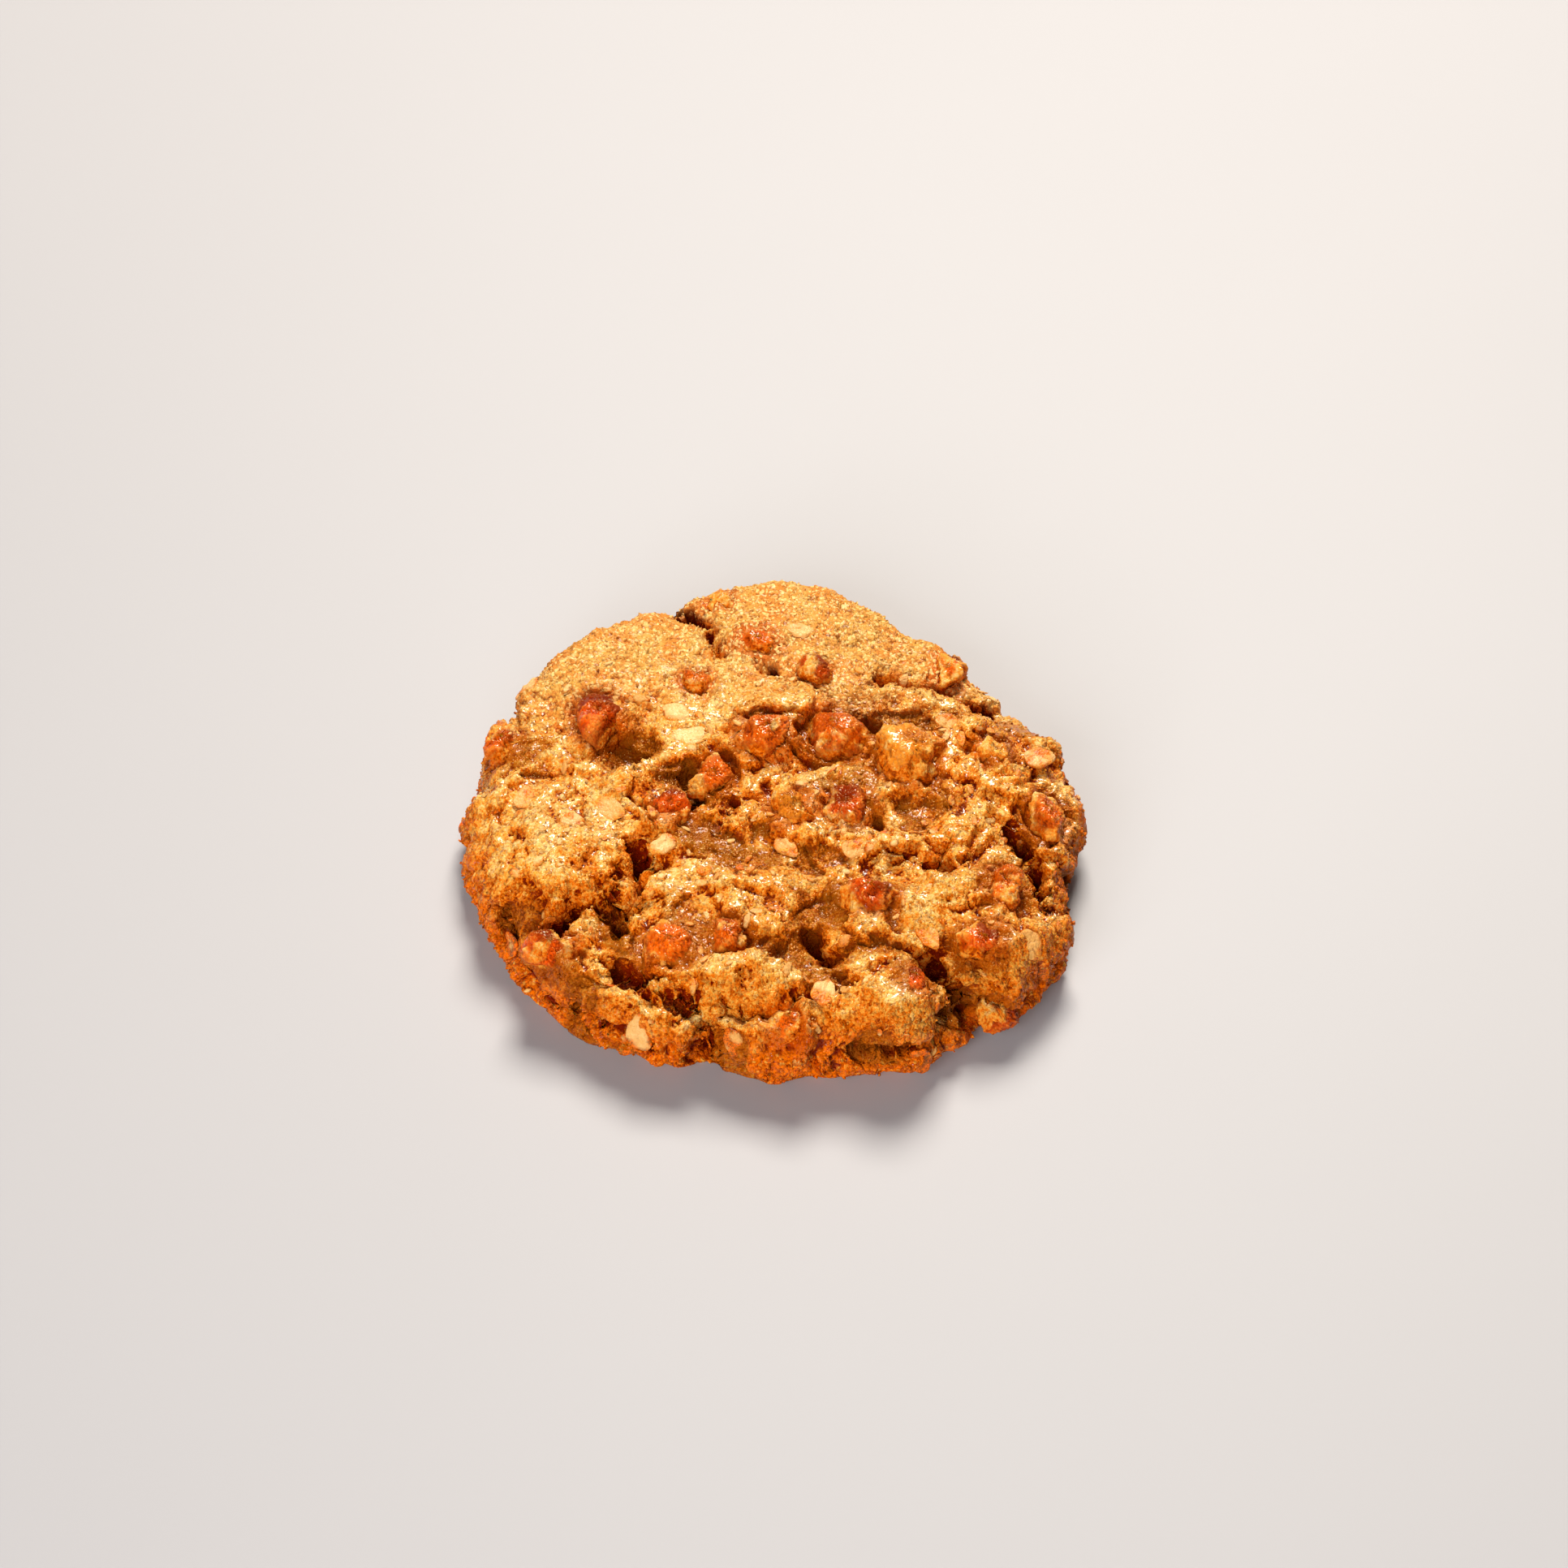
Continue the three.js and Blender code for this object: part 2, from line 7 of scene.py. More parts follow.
import bpy
import numpy as np
from bpy.props import FloatProperty, FloatVectorProperty, IntProperty, PointerProperty
from bpy.types import Operator, Panel, PropertyGroup
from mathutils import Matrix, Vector


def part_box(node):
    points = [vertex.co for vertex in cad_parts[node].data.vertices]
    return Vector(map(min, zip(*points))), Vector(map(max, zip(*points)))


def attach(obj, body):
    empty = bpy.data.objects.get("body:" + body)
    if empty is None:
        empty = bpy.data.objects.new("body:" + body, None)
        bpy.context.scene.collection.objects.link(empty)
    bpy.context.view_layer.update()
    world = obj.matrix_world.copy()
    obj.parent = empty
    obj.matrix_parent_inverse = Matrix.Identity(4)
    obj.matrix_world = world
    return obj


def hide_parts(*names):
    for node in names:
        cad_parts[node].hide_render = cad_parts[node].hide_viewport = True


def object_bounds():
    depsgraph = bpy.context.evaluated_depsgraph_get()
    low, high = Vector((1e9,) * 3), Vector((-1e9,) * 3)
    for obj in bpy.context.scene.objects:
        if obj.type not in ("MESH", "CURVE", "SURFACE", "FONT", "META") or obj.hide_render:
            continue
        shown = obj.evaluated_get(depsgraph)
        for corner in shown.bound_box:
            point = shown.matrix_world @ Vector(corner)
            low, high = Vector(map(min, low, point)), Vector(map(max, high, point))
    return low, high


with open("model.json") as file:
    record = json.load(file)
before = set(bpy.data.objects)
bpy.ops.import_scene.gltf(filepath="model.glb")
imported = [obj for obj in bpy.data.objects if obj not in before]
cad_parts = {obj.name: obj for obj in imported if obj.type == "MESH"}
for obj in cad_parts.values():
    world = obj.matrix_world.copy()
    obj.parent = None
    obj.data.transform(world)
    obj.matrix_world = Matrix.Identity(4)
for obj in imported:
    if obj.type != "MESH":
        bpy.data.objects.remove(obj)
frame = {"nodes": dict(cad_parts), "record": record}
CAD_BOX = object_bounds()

bl_info = {
    "name": "Apple Cookie",
    "version": (1, 0, 0),
    "blender": (4, 5, 0),
    "location": "3D View > Sidebar > Cookie",
    "description": "Builds a craggy oat cookie with baked apple pieces",
    "category": "Add Mesh",
}

MM = 0.001  # the tables and the shape functions below are in millimetres, the scene in metres
BODY = "root"
DOUGH_NODE = "dough"
DOUGH_PIECE = "cookie_dough"
APPLE_NODES = sorted(name for name in frame["nodes"] if name.startswith("apple_"))
NODE_SLOTS = {part["node"]: part["material_slot"] for part in frame["record"]["subparts"]}

# Swells and dents of the plan outline: middle angle (degrees), swell (share of radius), spread (degrees)
OUTLINE_SWELLS = (
    (90, 0.034, 13),
    (52, 0.05, 7),
    (46, -0.125, 27),
    (296, 0.055, 9),
    (323, 0.058, 14),
    (228, 0.044, 17),
    (162, -0.03, 10),
    (134, 0.022, 14),
)

# Coarse lumps: wavelength and rise of each wave of smooth noise
LUMP_WAVES = ((13, 1.5), (6.2, 1.3), (4.1, 0.9))
CRUST_CALM = 0.62  # share of the coarse lumps that the smoother far crust loses

# Mounds of dough that stand up, and hollows that go down: x, y, length, width, turn (degrees), rise
MOUNDS = (
    (-35, -16, 21, 15, 10, 1.9),
    (-3, -27, 17, 13, -20, 1.3),
    (19.5, -43, 19, 9, 6, 2.4),
    (-4, -42, 20, 8, -4, 1.2),
    (26, -26, 15, 12, 30, 1.4),
    (-29, 30, 30, 20, 25, 1.3),
    (3, 41, 36, 22, -4, 1.9),
    (14, 26, 20, 10, -12, 1.4),
    (31, 17, 15, 10, -30, 1.0),
    (-41, -4, 12, 17, 0, 1.0),
    (-22, 3.5, 9, 8, 0, 1.3),
    (1, 18, 9, 8, 0, 1.0),
    (-14, 12, 12, 12, 0, 0.9),
    (-24, 10, 8, 11, -20, -2.0),
    (-4, -14, 20, 9, -25, -1.9),
    (20, -7, 13, 10, 15, -1.5),
    (21, 15, 15, 6, 5, -1.6),
    (8, -29, 7, 16, 12, -1.7),
)

# Cracks and pits of the top: half width, depth, and the points (x, y) that each follows
CRACKS = (
    (2.0, 5.0, ((-9.8, 31), (-10.4, 36), (-14.5, 41), (-18, 46))),
    (2.2, 4.2, ((17, 24.5), (21.5, 25), (25, 25.5), (28, 23), (35, 21))),
    (2.3, 6.0, ((-22.6, -15), (-23, -20), (-26, -24.5), (-25.6, -28))),
    (1.9, 4.0, ((-26, -24), (-31, -23), (-35, -28))),
    (2.1, 5.2, ((39, -9.5), (40.5, -13), (42.5, -18), (44.5, -22))),
    (2.4, 5.2, ((25, -36), (28, -39), (33, -42.5))),
    (1.8, 3.0, ((-28, -34), (-23, -39), (-16, -42), (-11, -43.5), (1, -46))),
    (1.9, 3.6, ((-12, -43), (-12.6, -48), (-12.8, -54))),
    (1.7, 3.2, ((-14.5, 4), (-13, 1), (-12, -3))),
    (1.9, 3.4, ((-7, -3), (-7.5, -8))),
    (2.2, 4.4, ((26.5, -14), (26.3, -18))),
    (1.9, 3.2, ((7, -31), (7.4, -35))),
    (1.8, 3.0, ((-6, 14.5), (-8, 11))),
    (1.7, 2.6, ((-3, 27), (0, 27))),
    (2.0, 3.2, ((-45, 31), (-43, 27))),
)

# Undercuts of the wall: half width, depth, and the points (angle in degrees, height)
WALL_CRACKS = (
    (1.7, 3.4, ((284, 8.5), (291, 7.2), (298, 7.6), (304, 10))),
    (1.8, 2.2, ((224, 5), (236, 7.5), (246, 6.5))),
    (1.8, 2.4, ((328, 4.5), (338, 6.5), (348, 5))),
    (1.8, 2.2, ((172, 6), (184, 7.5), (196, 5))),
    (1.8, 2.4, ((118, 5.5), (128, 7.5), (139, 6))),
    (1.8, 2.6, ((62, 6), (74, 5), (84, 7))),
    (1.8, 2.2, ((18, 5), (28, 7), (38, 5.5))),
)

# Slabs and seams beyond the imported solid, as rows of mounds, cracks and undercuts
SLABS = ((-4, -39, 16, 8, 0, 1.4),)
TOP_SEAMS = (
    (1.2, 4.0, ((-25, -37.5), (-19, -43), (-12.5, -45.5), (-6, -45.8), (1, -44.8), (7, -42))),
)
WALL_SEAMS = (
    (1.8, 6.0, ((256, 13), (257, 9), (255.5, 5), (256.5, 1.5))),
    (0.7, 1.8, ((235, 8), (236, 5), (234.5, 2))),
    (0.7, 1.6, ((268, 7.5), (269.5, 5), (268, 2.5))),
    (0.7, 1.8, ((281, 6.5), (280, 4), (281, 1.5))),
    (0.8, 2.0, ((311, 9), (312.5, 5.5), (311, 2))),
    (0.8, 2.0, ((7, 9), (9, 5), (7.5, 2))),
    (0.8, 2.0, ((58, 9), (56, 5.5), (57.5, 2))),
    (0.8, 2.2, ((101, 10), (103, 6), (101.5, 2))),
    (0.8, 2.0, ((152, 9), (150, 5), (151.5, 2))),
    (0.8, 2.2, ((206, 10), (208, 6), (206.5, 2))),
)

# Breaks that leave the dough in blocks: size, rise, and a shift that sets one apart from the others
BREAKS = ((9.5, 1.25, 5), (7.0, 0.8, 31), (4.6, 0.3, 57))

# Syrup that has pooled in the hollows of the top: x, y, length, width, turn (degrees)
SYRUP_POOLS = (
    (-24, 10, 9, 12, -20),
    (-4, -14, 24, 9, -18),
    (20, -6, 15, 11, 10),
    (21, 15, 19, 6, 4),
    (8, -25, 6, 11, 12),
    (-3.5, 21, 13, 8, -20),
    (-12.5, 0, 5, 11, 20),
    (-25, -29, 6, 12, 10),
    (11, 20, 9, 5, 0),
    (-17, 4, 6, 6, 0),
)

# Apple pieces by tone: share of dark peel, share of the radius that the deepest cut leaves, and softness
APPLE_TONES = {"ruby": (0.9, 0.64, 17), "amber": (0.3, 0.64, 17), "toffee": (0.2, 0.76, 5)}

# How far dough covers the apple pieces, and the pieces that it covers more or less than the others
PLAIN_COVER = 0.1
APPLE_COVERS = {
    "apple_left": 0.0,
    "apple_middle": 0.0,
    "apple_middle_right": 0.0,
    "apple_dark": -0.15,
    "apple_near_right": 0.0,
    "apple_mound": 0.5,
    "apple_brown": 0.25,
    "apple_far": 0.4,
    "apple_far_left": 0.4,
    "apple_far_crust": 0.45,
    "apple_under_crust": 0.35,
    "apple_right": 0.3,
    "apple_wall_near": 0.3,
    "apple_left_edge": 0.25,
    "apple_right_edge": 0.2,
}

# Oat flakes of the top: x, y, length, width, turn and lift (degrees)
TOP_FLAKES = (
    (-14.6, 10.9, 7, 5.2, 24, 10),
    (-16.2, 16.4, 5.2, 4, -30, 12),
    (1.6, -13.6, 4.6, 3.6, -50, 14),
    (-17.8, -13.6, 5.4, 4, 40, 16),
    (43, 8, 5.2, 3.8, 20, 10),
    (-40.8, 26.6, 5, 4, 35, 8),
    (-41.6, 33, 4.8, 3.6, 70, 14),
    (4, 35, 4.2, 3.2, 0, 8),
    (28, 13.4, 4.4, 3.4, 60, 12),
    (-41, -1, 4.6, 3.6, 75, 10),
    (24, -31.6, 5, 3.6, -55, 14),
    (39.4, -31.4, 5, 3.8, -40, 12),
    (13, -13.4, 4.6, 3.6, 30, 14),
    (-27, -5, 5, 3.8, -35, 14),
    (-33, -8, 4.4, 3.4, 15, 10),
    (7.4, -43, 4.8, 3.6, 70, 10),
)

# Oat flake of the near wall: angle (degrees), height, length, width, turn and lift (degrees)
NEAR_WALL_FLAKE = (245, 9, 6.4, 4.6, 70, 8)

# Flakes all round the wall follow a golden-angle walk: how many, mean size, and lowest and highest place
WALL_FLAKE_COUNT = 22
WALL_FLAKE_SIZE = (5.4, 4)
WALL_FLAKE_HEIGHTS = (4.2, 10.2)
GOLDEN_ANGLE = math.pi * (3 - math.sqrt(5))
FLAKE_CLEARANCE = 0.4  # room between a flake and the box round any apple piece

# The two cuts that make up a crack: share of its depth, narrowing and steepness
CRACK_CUTS = ((0.75, 0.62, 1.6), (0.5, 0.32, 2))

# Warps that fray the cracks and the crumb: size and amount of each
CRACK_WARPS = ((3.4, 1.1), (1.3, 0.6), (0.7, 0.35))
CRUMB_WARPS = ((4.5, 1.6), (1.6, 0.6), (0.75, 0.26))

# Pores of the dough and holes of the wall: cell size, rim and floor of an opening, and the cells that open
PORES = (3.1, (0.34, 0.12), (0.62, 0.8))
WALL_HOLES = (1.9, (0.42, 0.15), (0.55, 0.75))

# Ranges from none to full: crust, near cracks and near browning by y, browning by height, plateau by rise
CRUST_BORDER = (12, 30)
NEAR_CRACKS = (42, 12)
NEAR_BROWNING = (20, -35)
BROWNED_HEIGHTS = (12.6, 5.6)
PLATEAU_RISES = (0.3, 1.2)

# Ranges from none to full: crust by depth of cut, moist and stained dough by distance from an apple piece
WHOLE_CRUST = (1.6, 0.3)
MOIST_GAPS = (3.0, 0.8)
JUICE_GAPS = (2.2, 0.2)

FAR_GAP = 9.0  # distance that dough away from every apple piece is given
GAP_REACH = 5  # how far round an apple piece the distance to it is worked out
FOOT_PLACES = (1, 0.96)  # places along the section over which the fine relief fades at the foot
TEAR = (1.5, 0.22)  # size and amount of the warp that tears the finished dough

# Base of the dough: rows of points from edge to middle, height of the middle, and depth of the dimples
BASE_ROWS = 12
BASE_MIDDLE = 0.1
DIMPLE_DEPTH = 0.45

# Flat cuts of a diced apple piece: how many, how hard their edges are, and the spread of distance and turn
APPLE_CUTS = 9
CUT_POWER = 12
CUT_SPREAD = 0.26
CUT_TURN = 6.3

# Rows and columns of points on a whole flake, on a broken bit and on a crumb
FLAKE_GRID = (9, 36)
BIT_GRID = (3, 8)
CRUMB_GRID = (2, 5)
BIT_THICKNESS = 0.6  # thickness of a broken bit

# Seeds of the random draws
GRIT_SEED = 3
CRUMB_SEED = 7
BIT_SEED = 11

FLOOR_GAP = 0.02  # lowest place of an apple piece, a flake or a crumb above the floor
PRESSED_SHARE = 0.7  # share of an apple piece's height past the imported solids' box that is taken off
LIT_SIDE = (0.0, 0.3, 0.954)  # direction towards the key light, up and a little to the back: faces that look this way get painted light

# Values that the dough holds for each of its points; hollow holds painted shade and dry painted light
DOUGH_LABELS = ("tone", "crust", "syrup", "wall", "juice", "hollow", "ridge", "dry")

# Places of the lights: direction from the cookie, and distance in metres
KEY_PLACE = ((0.12, 0.75, 0.95), 1.1)
FILL_PLACE = ((-0.35, -0.85, 0.45), 1.2)
GLINT_PLACE = ((-0.4, -0.85, 0.28), 1.1)
SURROUNDINGS = (1.0, 0.93, 0.86, 1)  # colour of the even light
SENSOR_WIDTH = 36  # width of the camera's sensor in millimetres


def screen_colour(red, green, blue):
    """Colour given as it looks on a screen, 0 to 255, in linear light."""
    return tuple(
        share / 12.92 if share <= 0.04045 else ((share + 0.055) / 1.055) ** 2.4
        for share in (red / 255, green / 255, blue / 255)
    )


def length_property(name, description, millimetres):
    """A length setting, given in millimetres and kept in metres."""
    return FloatProperty(name=name, description=description, default=millimetres * MM,
                         precision=5, unit="LENGTH", subtype="DISTANCE")


def power_property(name, description, watts):
    """A setting for a light's power in watts."""
    return FloatProperty(name=name, description=description, default=watts, unit="POWER")


def colour_property(name, description, red, green, blue):
    """A colour setting, given as screen values from 0 to 255."""
    return FloatVectorProperty(name=name, description=description, size=3, min=0, max=1,
                               subtype="COLOR", default=screen_colour(red, green, blue))


class CookieDoughSettings(PropertyGroup):
    """Sizes and colours of the baked dough."""

    radius: length_property("Radius", "Widest plan radius of the side wall", 50.4)
    crown_height: length_property("Crown height", "Middle of the top above the base", 17.2)
    shoulder_radius: length_property("Shoulder radius", "Where the top turns into the wall", 44.2)
    shoulder_height: length_property("Shoulder height", "Height of that turn", 13.6)
    widest_height: length_property("Widest height", "Height at which the wall is widest", 5.0)
    undercut: FloatProperty(name="Undercut", description="How far the wall tucks in at the base",
                            default=math.radians(52), subtype="ANGLE")
    crown_power: FloatProperty(name="Crown power", description="2 is a parabola, more is flatter",
                               default=2.6, min=1, max=6)
    rings: IntProperty(name="Rings", description="Rings of points from crown to base",
                       default=168, min=24, max=176)
    clump: length_property("Clump depth", "Height of a break of rise one", 1.0)
    crumb: length_property("Crumb depth", "Depth of the soft crumb", 0.34)
    grain: length_property("Grain depth", "Depth of the fine sugary grain", 0.13)
    pore: length_property("Pore depth", "Depth of the open pores", 1.3)
    # Gold and orange also carry painted light and shade: the tone ramp gives gold to faces towards the key
    # light and orange to faces turned from it
    gold: colour_property("Gold", "Raised, dry dough", 236, 160, 58)
    orange: colour_property("Orange", "Moist dough", 224, 104, 0)
    pale: colour_property("Pale", "Pale sugar and flour in the grain", 250, 210, 134)
    crust: colour_property("Crust", "Smoother far crust", 210, 159, 81)
    # Painted shade in the hollows and cracks of the dough, and the colour of its dark pits and freckles
    crevice: colour_property("Crevice", "Deep cracks and pores", 118, 22, 0)
    wall: colour_property("Wall", "Browned side wall and base", 252, 112, 0)
    syrup: colour_property("Syrup", "Syrup in the hollows", 146, 80, 10)
    juice: colour_property("Juice", "Dough stained by apple juice", 194, 72, 0)


class CookieAppleSettings(PropertyGroup):
    """Shape and colours of the apple pieces."""

    rows: IntProperty(name="Rows", description="Rows of points on a piece", default=34, min=8, max=48)
    bed_softness: FloatProperty(name="Bed softness", description="Sharper dough beds with a higher value",
                                default=17, min=4, max=60)
    wrinkle: length_property("Wrinkle depth", "Depth of the baked wrinkles", 0.5)
    peel: colour_property("Peel", "Baked red peel", 106, 18, 0)
    ruby: colour_property("Ruby flesh", "Flesh of the reddest pieces", 184, 62, 2)
    amber: colour_property("Amber flesh", "Flesh of the orange pieces", 204, 80, 4)
    toffee: colour_property("Toffee flesh", "Flesh of the browned pieces", 212, 112, 20)


class CookieOatSettings(PropertyGroup):
    """Sizes and colours of the oat flakes and of the smaller bits."""

    thickness: length_property("Thickness", "Thickness of a whole flake", 1.3)
    stand: length_property("Stand", "Height of a flake's middle above the dough", 0.15)
    bits: IntProperty(name="Bits", description="Number of broken bits of oat", default=260, min=0, max=1000)
    bit_length: length_property("Bit length", "Mean length of a bit", 2.0)
    cream: colour_property("Cream", "Bare side of a flake", 252, 206, 138)
    toasted: colour_property("Toasted", "Toasted side of a flake", 226, 162, 84)


class CookieCrumbSettings(PropertyGroup):
    """Number and sizes of the crumbs that cling to the dough."""

    count: IntProperty(name="Count", description="Number of crumbs", default=1800, min=0, max=9000)
    smallest: length_property("Smallest", "Smallest crumb", 0.3)
    largest: length_property("Largest", "Largest crumb", 0.8)


class CookieStageSettings(PropertyGroup):
    """Floor, lights and camera."""

    floor_size: length_property("Floor size", "Side of the square floor", 6000)
    floor: colour_property("Floor", "Pale floor", 174, 172, 175)
    key_power: power_property("Key power", "Light from behind", 18.2)
    key_tint: colour_property("Key tint", "Warmth of the key light", 255, 248, 236)
    key_size: length_property("Key size", "Side of the key light", 420)
    fill_power: power_property("Fill power", "Light from the front", 15.6)
    fill_size: length_property("Fill size", "Side of the fill light", 900)
    glint_power: power_property("Glint power", "Small low light from the front", 1.2)
    glint_size: length_property("Glint size", "Side of the small light", 120)
    world: FloatProperty(name="Surroundings", description="Strength of the even light", default=0.1)
    elevation: FloatProperty(name="Elevation", description="Camera above the horizon",
                             default=math.radians(47), subtype="ANGLE")
    distance: length_property("Distance", "Camera to the middle of the cookie", 900)
    lens: FloatProperty(name="Lens", description="Focal length", default=126.6, unit="CAMERA")
    aim_height: length_property("Aim height", "Height of the cookie's middle", 8)
    frame_right: length_property("Frame right", "Picture centre right of the cookie's middle", 1.3)
    frame_up: length_property("Frame up", "Picture centre above the cookie's middle", 6.1)


# Noise on whole arrays

def corner_value(i, j, k):
    """Repeatable value in 0..1 for a lattice corner: the fraction of a large multiple of a sine."""
    wave = np.sin(i * 12.9898 + j * 78.233 + k * 37.719) * 43758.5453
    return wave - np.floor(wave)


def smooth_noise(points):
    """Noise in -1..1: corner values of a cubic lattice, eased by s*s*(3-2s) between the corners."""
    base = np.floor(points)
    share = points - base
    share = share * share * (3 - 2 * share)
    total = np.zeros(points.shape[:-1])
    for corner in itertools.product((0, 1), repeat=3):
        weight = np.prod(np.where(corner, share, 1 - share), axis=-1)
        total += weight * corner_value(*np.moveaxis(base + corner, -1, 0))
    return 2 * total - 1


def ripple(points, size, shift=0):
    """Smooth noise with features of one size. The shift sets one ripple apart from another."""
    return smooth_noise(points / size + shift)


def warped(points, size, amount):
    """Points moved by three smooth noises of one size, one for each axis."""
    shifts = [ripple(points, size, 19.7 * axis) for axis in (1, 2, 3)]
    return points + amount * np.stack(shifts, axis=-1)


def frayed(points, warps):
    """Points warped in turn by rows of size and amount."""
    for size, amount in warps:
        points = warped(points, size, amount)
    return points


def cell_noise(points, size):
    """Distances to the nearest and second nearest of one scattered spot per cell, and the cell's own value.

    Distances are in cells. The value is 0..1 and the same over the whole cell."""
    spots = points / size
    base = np.floor(spots)
    nearest = np.full(len(points), 9.0)
    second = np.full(len(points), 9.0)
    owner = np.zeros(len(points))
    for offset in itertools.product((-1, 0, 1), repeat=3):
        i, j, k = (base + offset).T
        jitter = [corner_value(i + 7 * axis, j - 3 * axis, k + axis) for axis in (1, 2, 3)]
        apart = np.linalg.norm(base + offset + np.stack(jitter, axis=1) - spots, axis=1)
        closer = apart < nearest
        second = np.where(closer, nearest, np.minimum(second, apart))
        owner = np.where(closer, corner_value(i, j, k), owner)
        nearest = np.minimum(nearest, apart)
    return nearest, second, owner


def step_between(value, low, high):
    """0 at low, 1 at high, eased between. low may be above high."""
    share = np.clip((value - low) / (high - low), 0, 1)
    return share * share * (3 - 2 * share)


def cobbles(points, size):
    """Rounded lumps in 0..1: high in the middle of a cell, with a crease where two cells meet."""
    nearest, second, owner = cell_noise(points, size)
    dome = 1 - step_between(nearest, 0, 0.95)
    crease = step_between(second - nearest, 0, 0.3)
    return (0.55 * dome + 0.45 * crease) * (0.55 + 0.45 * owner)


def openings(points, size, mouth, share):
    """0..1 inside the cells that open.

    mouth is how far rim and floor lie from a cell's middle, share the values of the cells that open."""
    nearest, _, owner = cell_noise(points, size)
    return step_between(nearest, *mouth) * step_between(owner, *share)


# The cookie's form

class CookieForm:
    """Plain form and coarse relief of the dough in millimetres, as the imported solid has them.

    t runs along the section from the crown (0) over the shoulder (top_share) to the base's edge (1)."""

    top_share = 0.76

    def __init__(self, sizes):
        self.radius = sizes.radius / MM
        self.crown_height = sizes.crown_height / MM
        self.shoulder_radius = sizes.shoulder_radius / MM
        self.shoulder_height = sizes.shoulder_height / MM
        self.widest_height = sizes.widest_height / MM
        self.undercut = sizes.undercut
        self.crown_power = sizes.crown_power

    def outline(self, angle):
        """Plan radius as a share: one plus a bell curve for each swell."""
        degrees = np.degrees(angle)
        share = np.ones_like(degrees)
        for middle, swell, spread in OUTLINE_SWELLS:
            apart = (degrees - middle + 180) % 360 - 180
            share = share + swell * np.exp(-((apart / spread) ** 2))
        return share

    def section(self, t):
        """Radius and height: a flat-topped power curve, then an arc over the shoulder and under."""
        share = np.minimum(t / self.top_share, 1)
        drop = (self.crown_height - self.shoulder_height) * share ** self.crown_power
        turn = np.clip((t - self.top_share) / (1 - self.top_share), 0, 1)
        slope = math.pi / 2 - turn * (math.pi / 2 + self.undercut)
        on_top = t <= self.top_share
        over = self.widest_height + (self.shoulder_height - self.widest_height) * np.sin(slope)
        under = self.widest_height * (1 + np.sin(slope) / math.sin(self.undercut))
        arc = self.shoulder_radius + (self.radius - self.shoulder_radius) * np.cos(slope)
        radius = np.where(on_top, share * self.shoulder_radius, arc)
        height = np.where(on_top, self.crown_height - drop, np.where(slope > 0, over, under))
        return radius, height

    def plain(self, t, angle):
        """Points of the smooth cookie: the section turned about the axis, times the plan outline."""
        radius, height = self.section(t)
        reach = radius * self.outline(angle)
        return np.stack([reach * np.cos(angle), reach * np.sin(angle), height], axis=-1)

    def stand(self, t, angle):
        """Outward unit normal of the smooth cookie, never pointing down."""
        step = 0.004
        along = self.plain(np.minimum(t + step, 1), angle) - self.plain(np.maximum(t - step, 0), angle)
        around = self.plain(t, angle + step) - self.plain(t, angle - step)
        normal = np.cross(along, around)
        normal[..., 2] = np.maximum(normal[..., 2], 0)
        length = np.linalg.norm(normal, axis=-1, keepdims=True)
        return np.where(length > 1e-6, normal / np.maximum(length, 1e-6), (0, 0, 1))

    def arc_place(self, slope):
        """t at a slope of the wall's arc."""
        turn = (math.pi / 2 - slope) / (math.pi / 2 + self.undercut)
        return self.top_share + (1 - self.top_share) * turn

    def top_spot(self, x, y):
        """t and angle below a point of the plan."""
        angle = np.arctan2(y, x)
        radius = np.hypot(x, y) / self.outline(angle)
        reach = np.clip((radius - self.shoulder_radius) / (self.radius - self.shoulder_radius), 0, 1)
        on_top = self.top_share * radius / self.shoulder_radius
        return np.where(radius <= self.shoulder_radius, on_top, self.arc_place(np.arccos(reach))), angle

    def wall_spot(self, degrees, height):
        """t and angle of a point of the wall at a height."""
        rise = np.clip((height - self.widest_height) / (self.shoulder_height - self.widest_height), 0, 1)
        fall = np.clip(1 - height / self.widest_height, 0, 1)
        slope = np.arcsin(rise) - np.arcsin(fall * math.sin(self.undercut))
        return self.arc_place(slope), np.radians(degrees)

    def crust_share(self, points):
        """0 on the craggy dough, 1 on the smoother far crust, with an uneven border."""
        flat = np.stack([points[:, 0] / 11, points[:, 1] / 11, np.full(len(points), 4.5)], axis=1)
        wander = 5 * smooth_noise(flat)
        return step_between(points[:, 1] + wander, *CRUST_BORDER)

    def mound_rise(self, points, rows=MOUNDS):
        """Sum of flat-topped bell curves, one for each mound or hollow."""
        total = np.zeros(len(points))
        for x, y, length, width, turn, rise in rows:
            centre = self.plain(*self.top_spot(np.array(float(x)), np.array(float(y))))
            total += rise * np.exp(-oval_distance(points, centre, length, width, turn) ** 4)
        return total

    def crack_cut(self, points, narrowing, steepness, top_rows=CRACKS, wall_rows=WALL_CRACKS):
        """Deepest cut at each point: depth times exp(-(distance / narrowed half width) ** steepness)."""
        cut = np.zeros(len(points))
        ways = [(row, self.top_spot) for row in top_rows] + [(row, self.wall_spot) for row in wall_rows]
        for (half_width, depth, path), find in ways:
            line = self.plain(*find(*np.array(path, float).T))
            distance = line_distance(points, line)
            cut = np.maximum(cut, depth * np.exp(-((distance / (narrowing * half_width)) ** steepness)))
        return cut

    def lumps(self, points):
        """Waves of smooth noise, calmer on the far crust, plus the mounds."""
        waves = sum(rise * ripple(points, wavelength) for wavelength, rise in LUMP_WAVES)
        return waves * (1 - CRUST_CALM * self.crust_share(points)) + self.mound_rise(points)

    def skin(self, t, angle):
        """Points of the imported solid's surface, and the directions that its relief stands in."""
        plain = self.plain(t, angle)
        stand = self.stand(t, angle)
        rise = self.lumps(plain) - self.crack_cut(plain, narrowing=1, steepness=2)
        return plain + stand * rise[:, None], stand


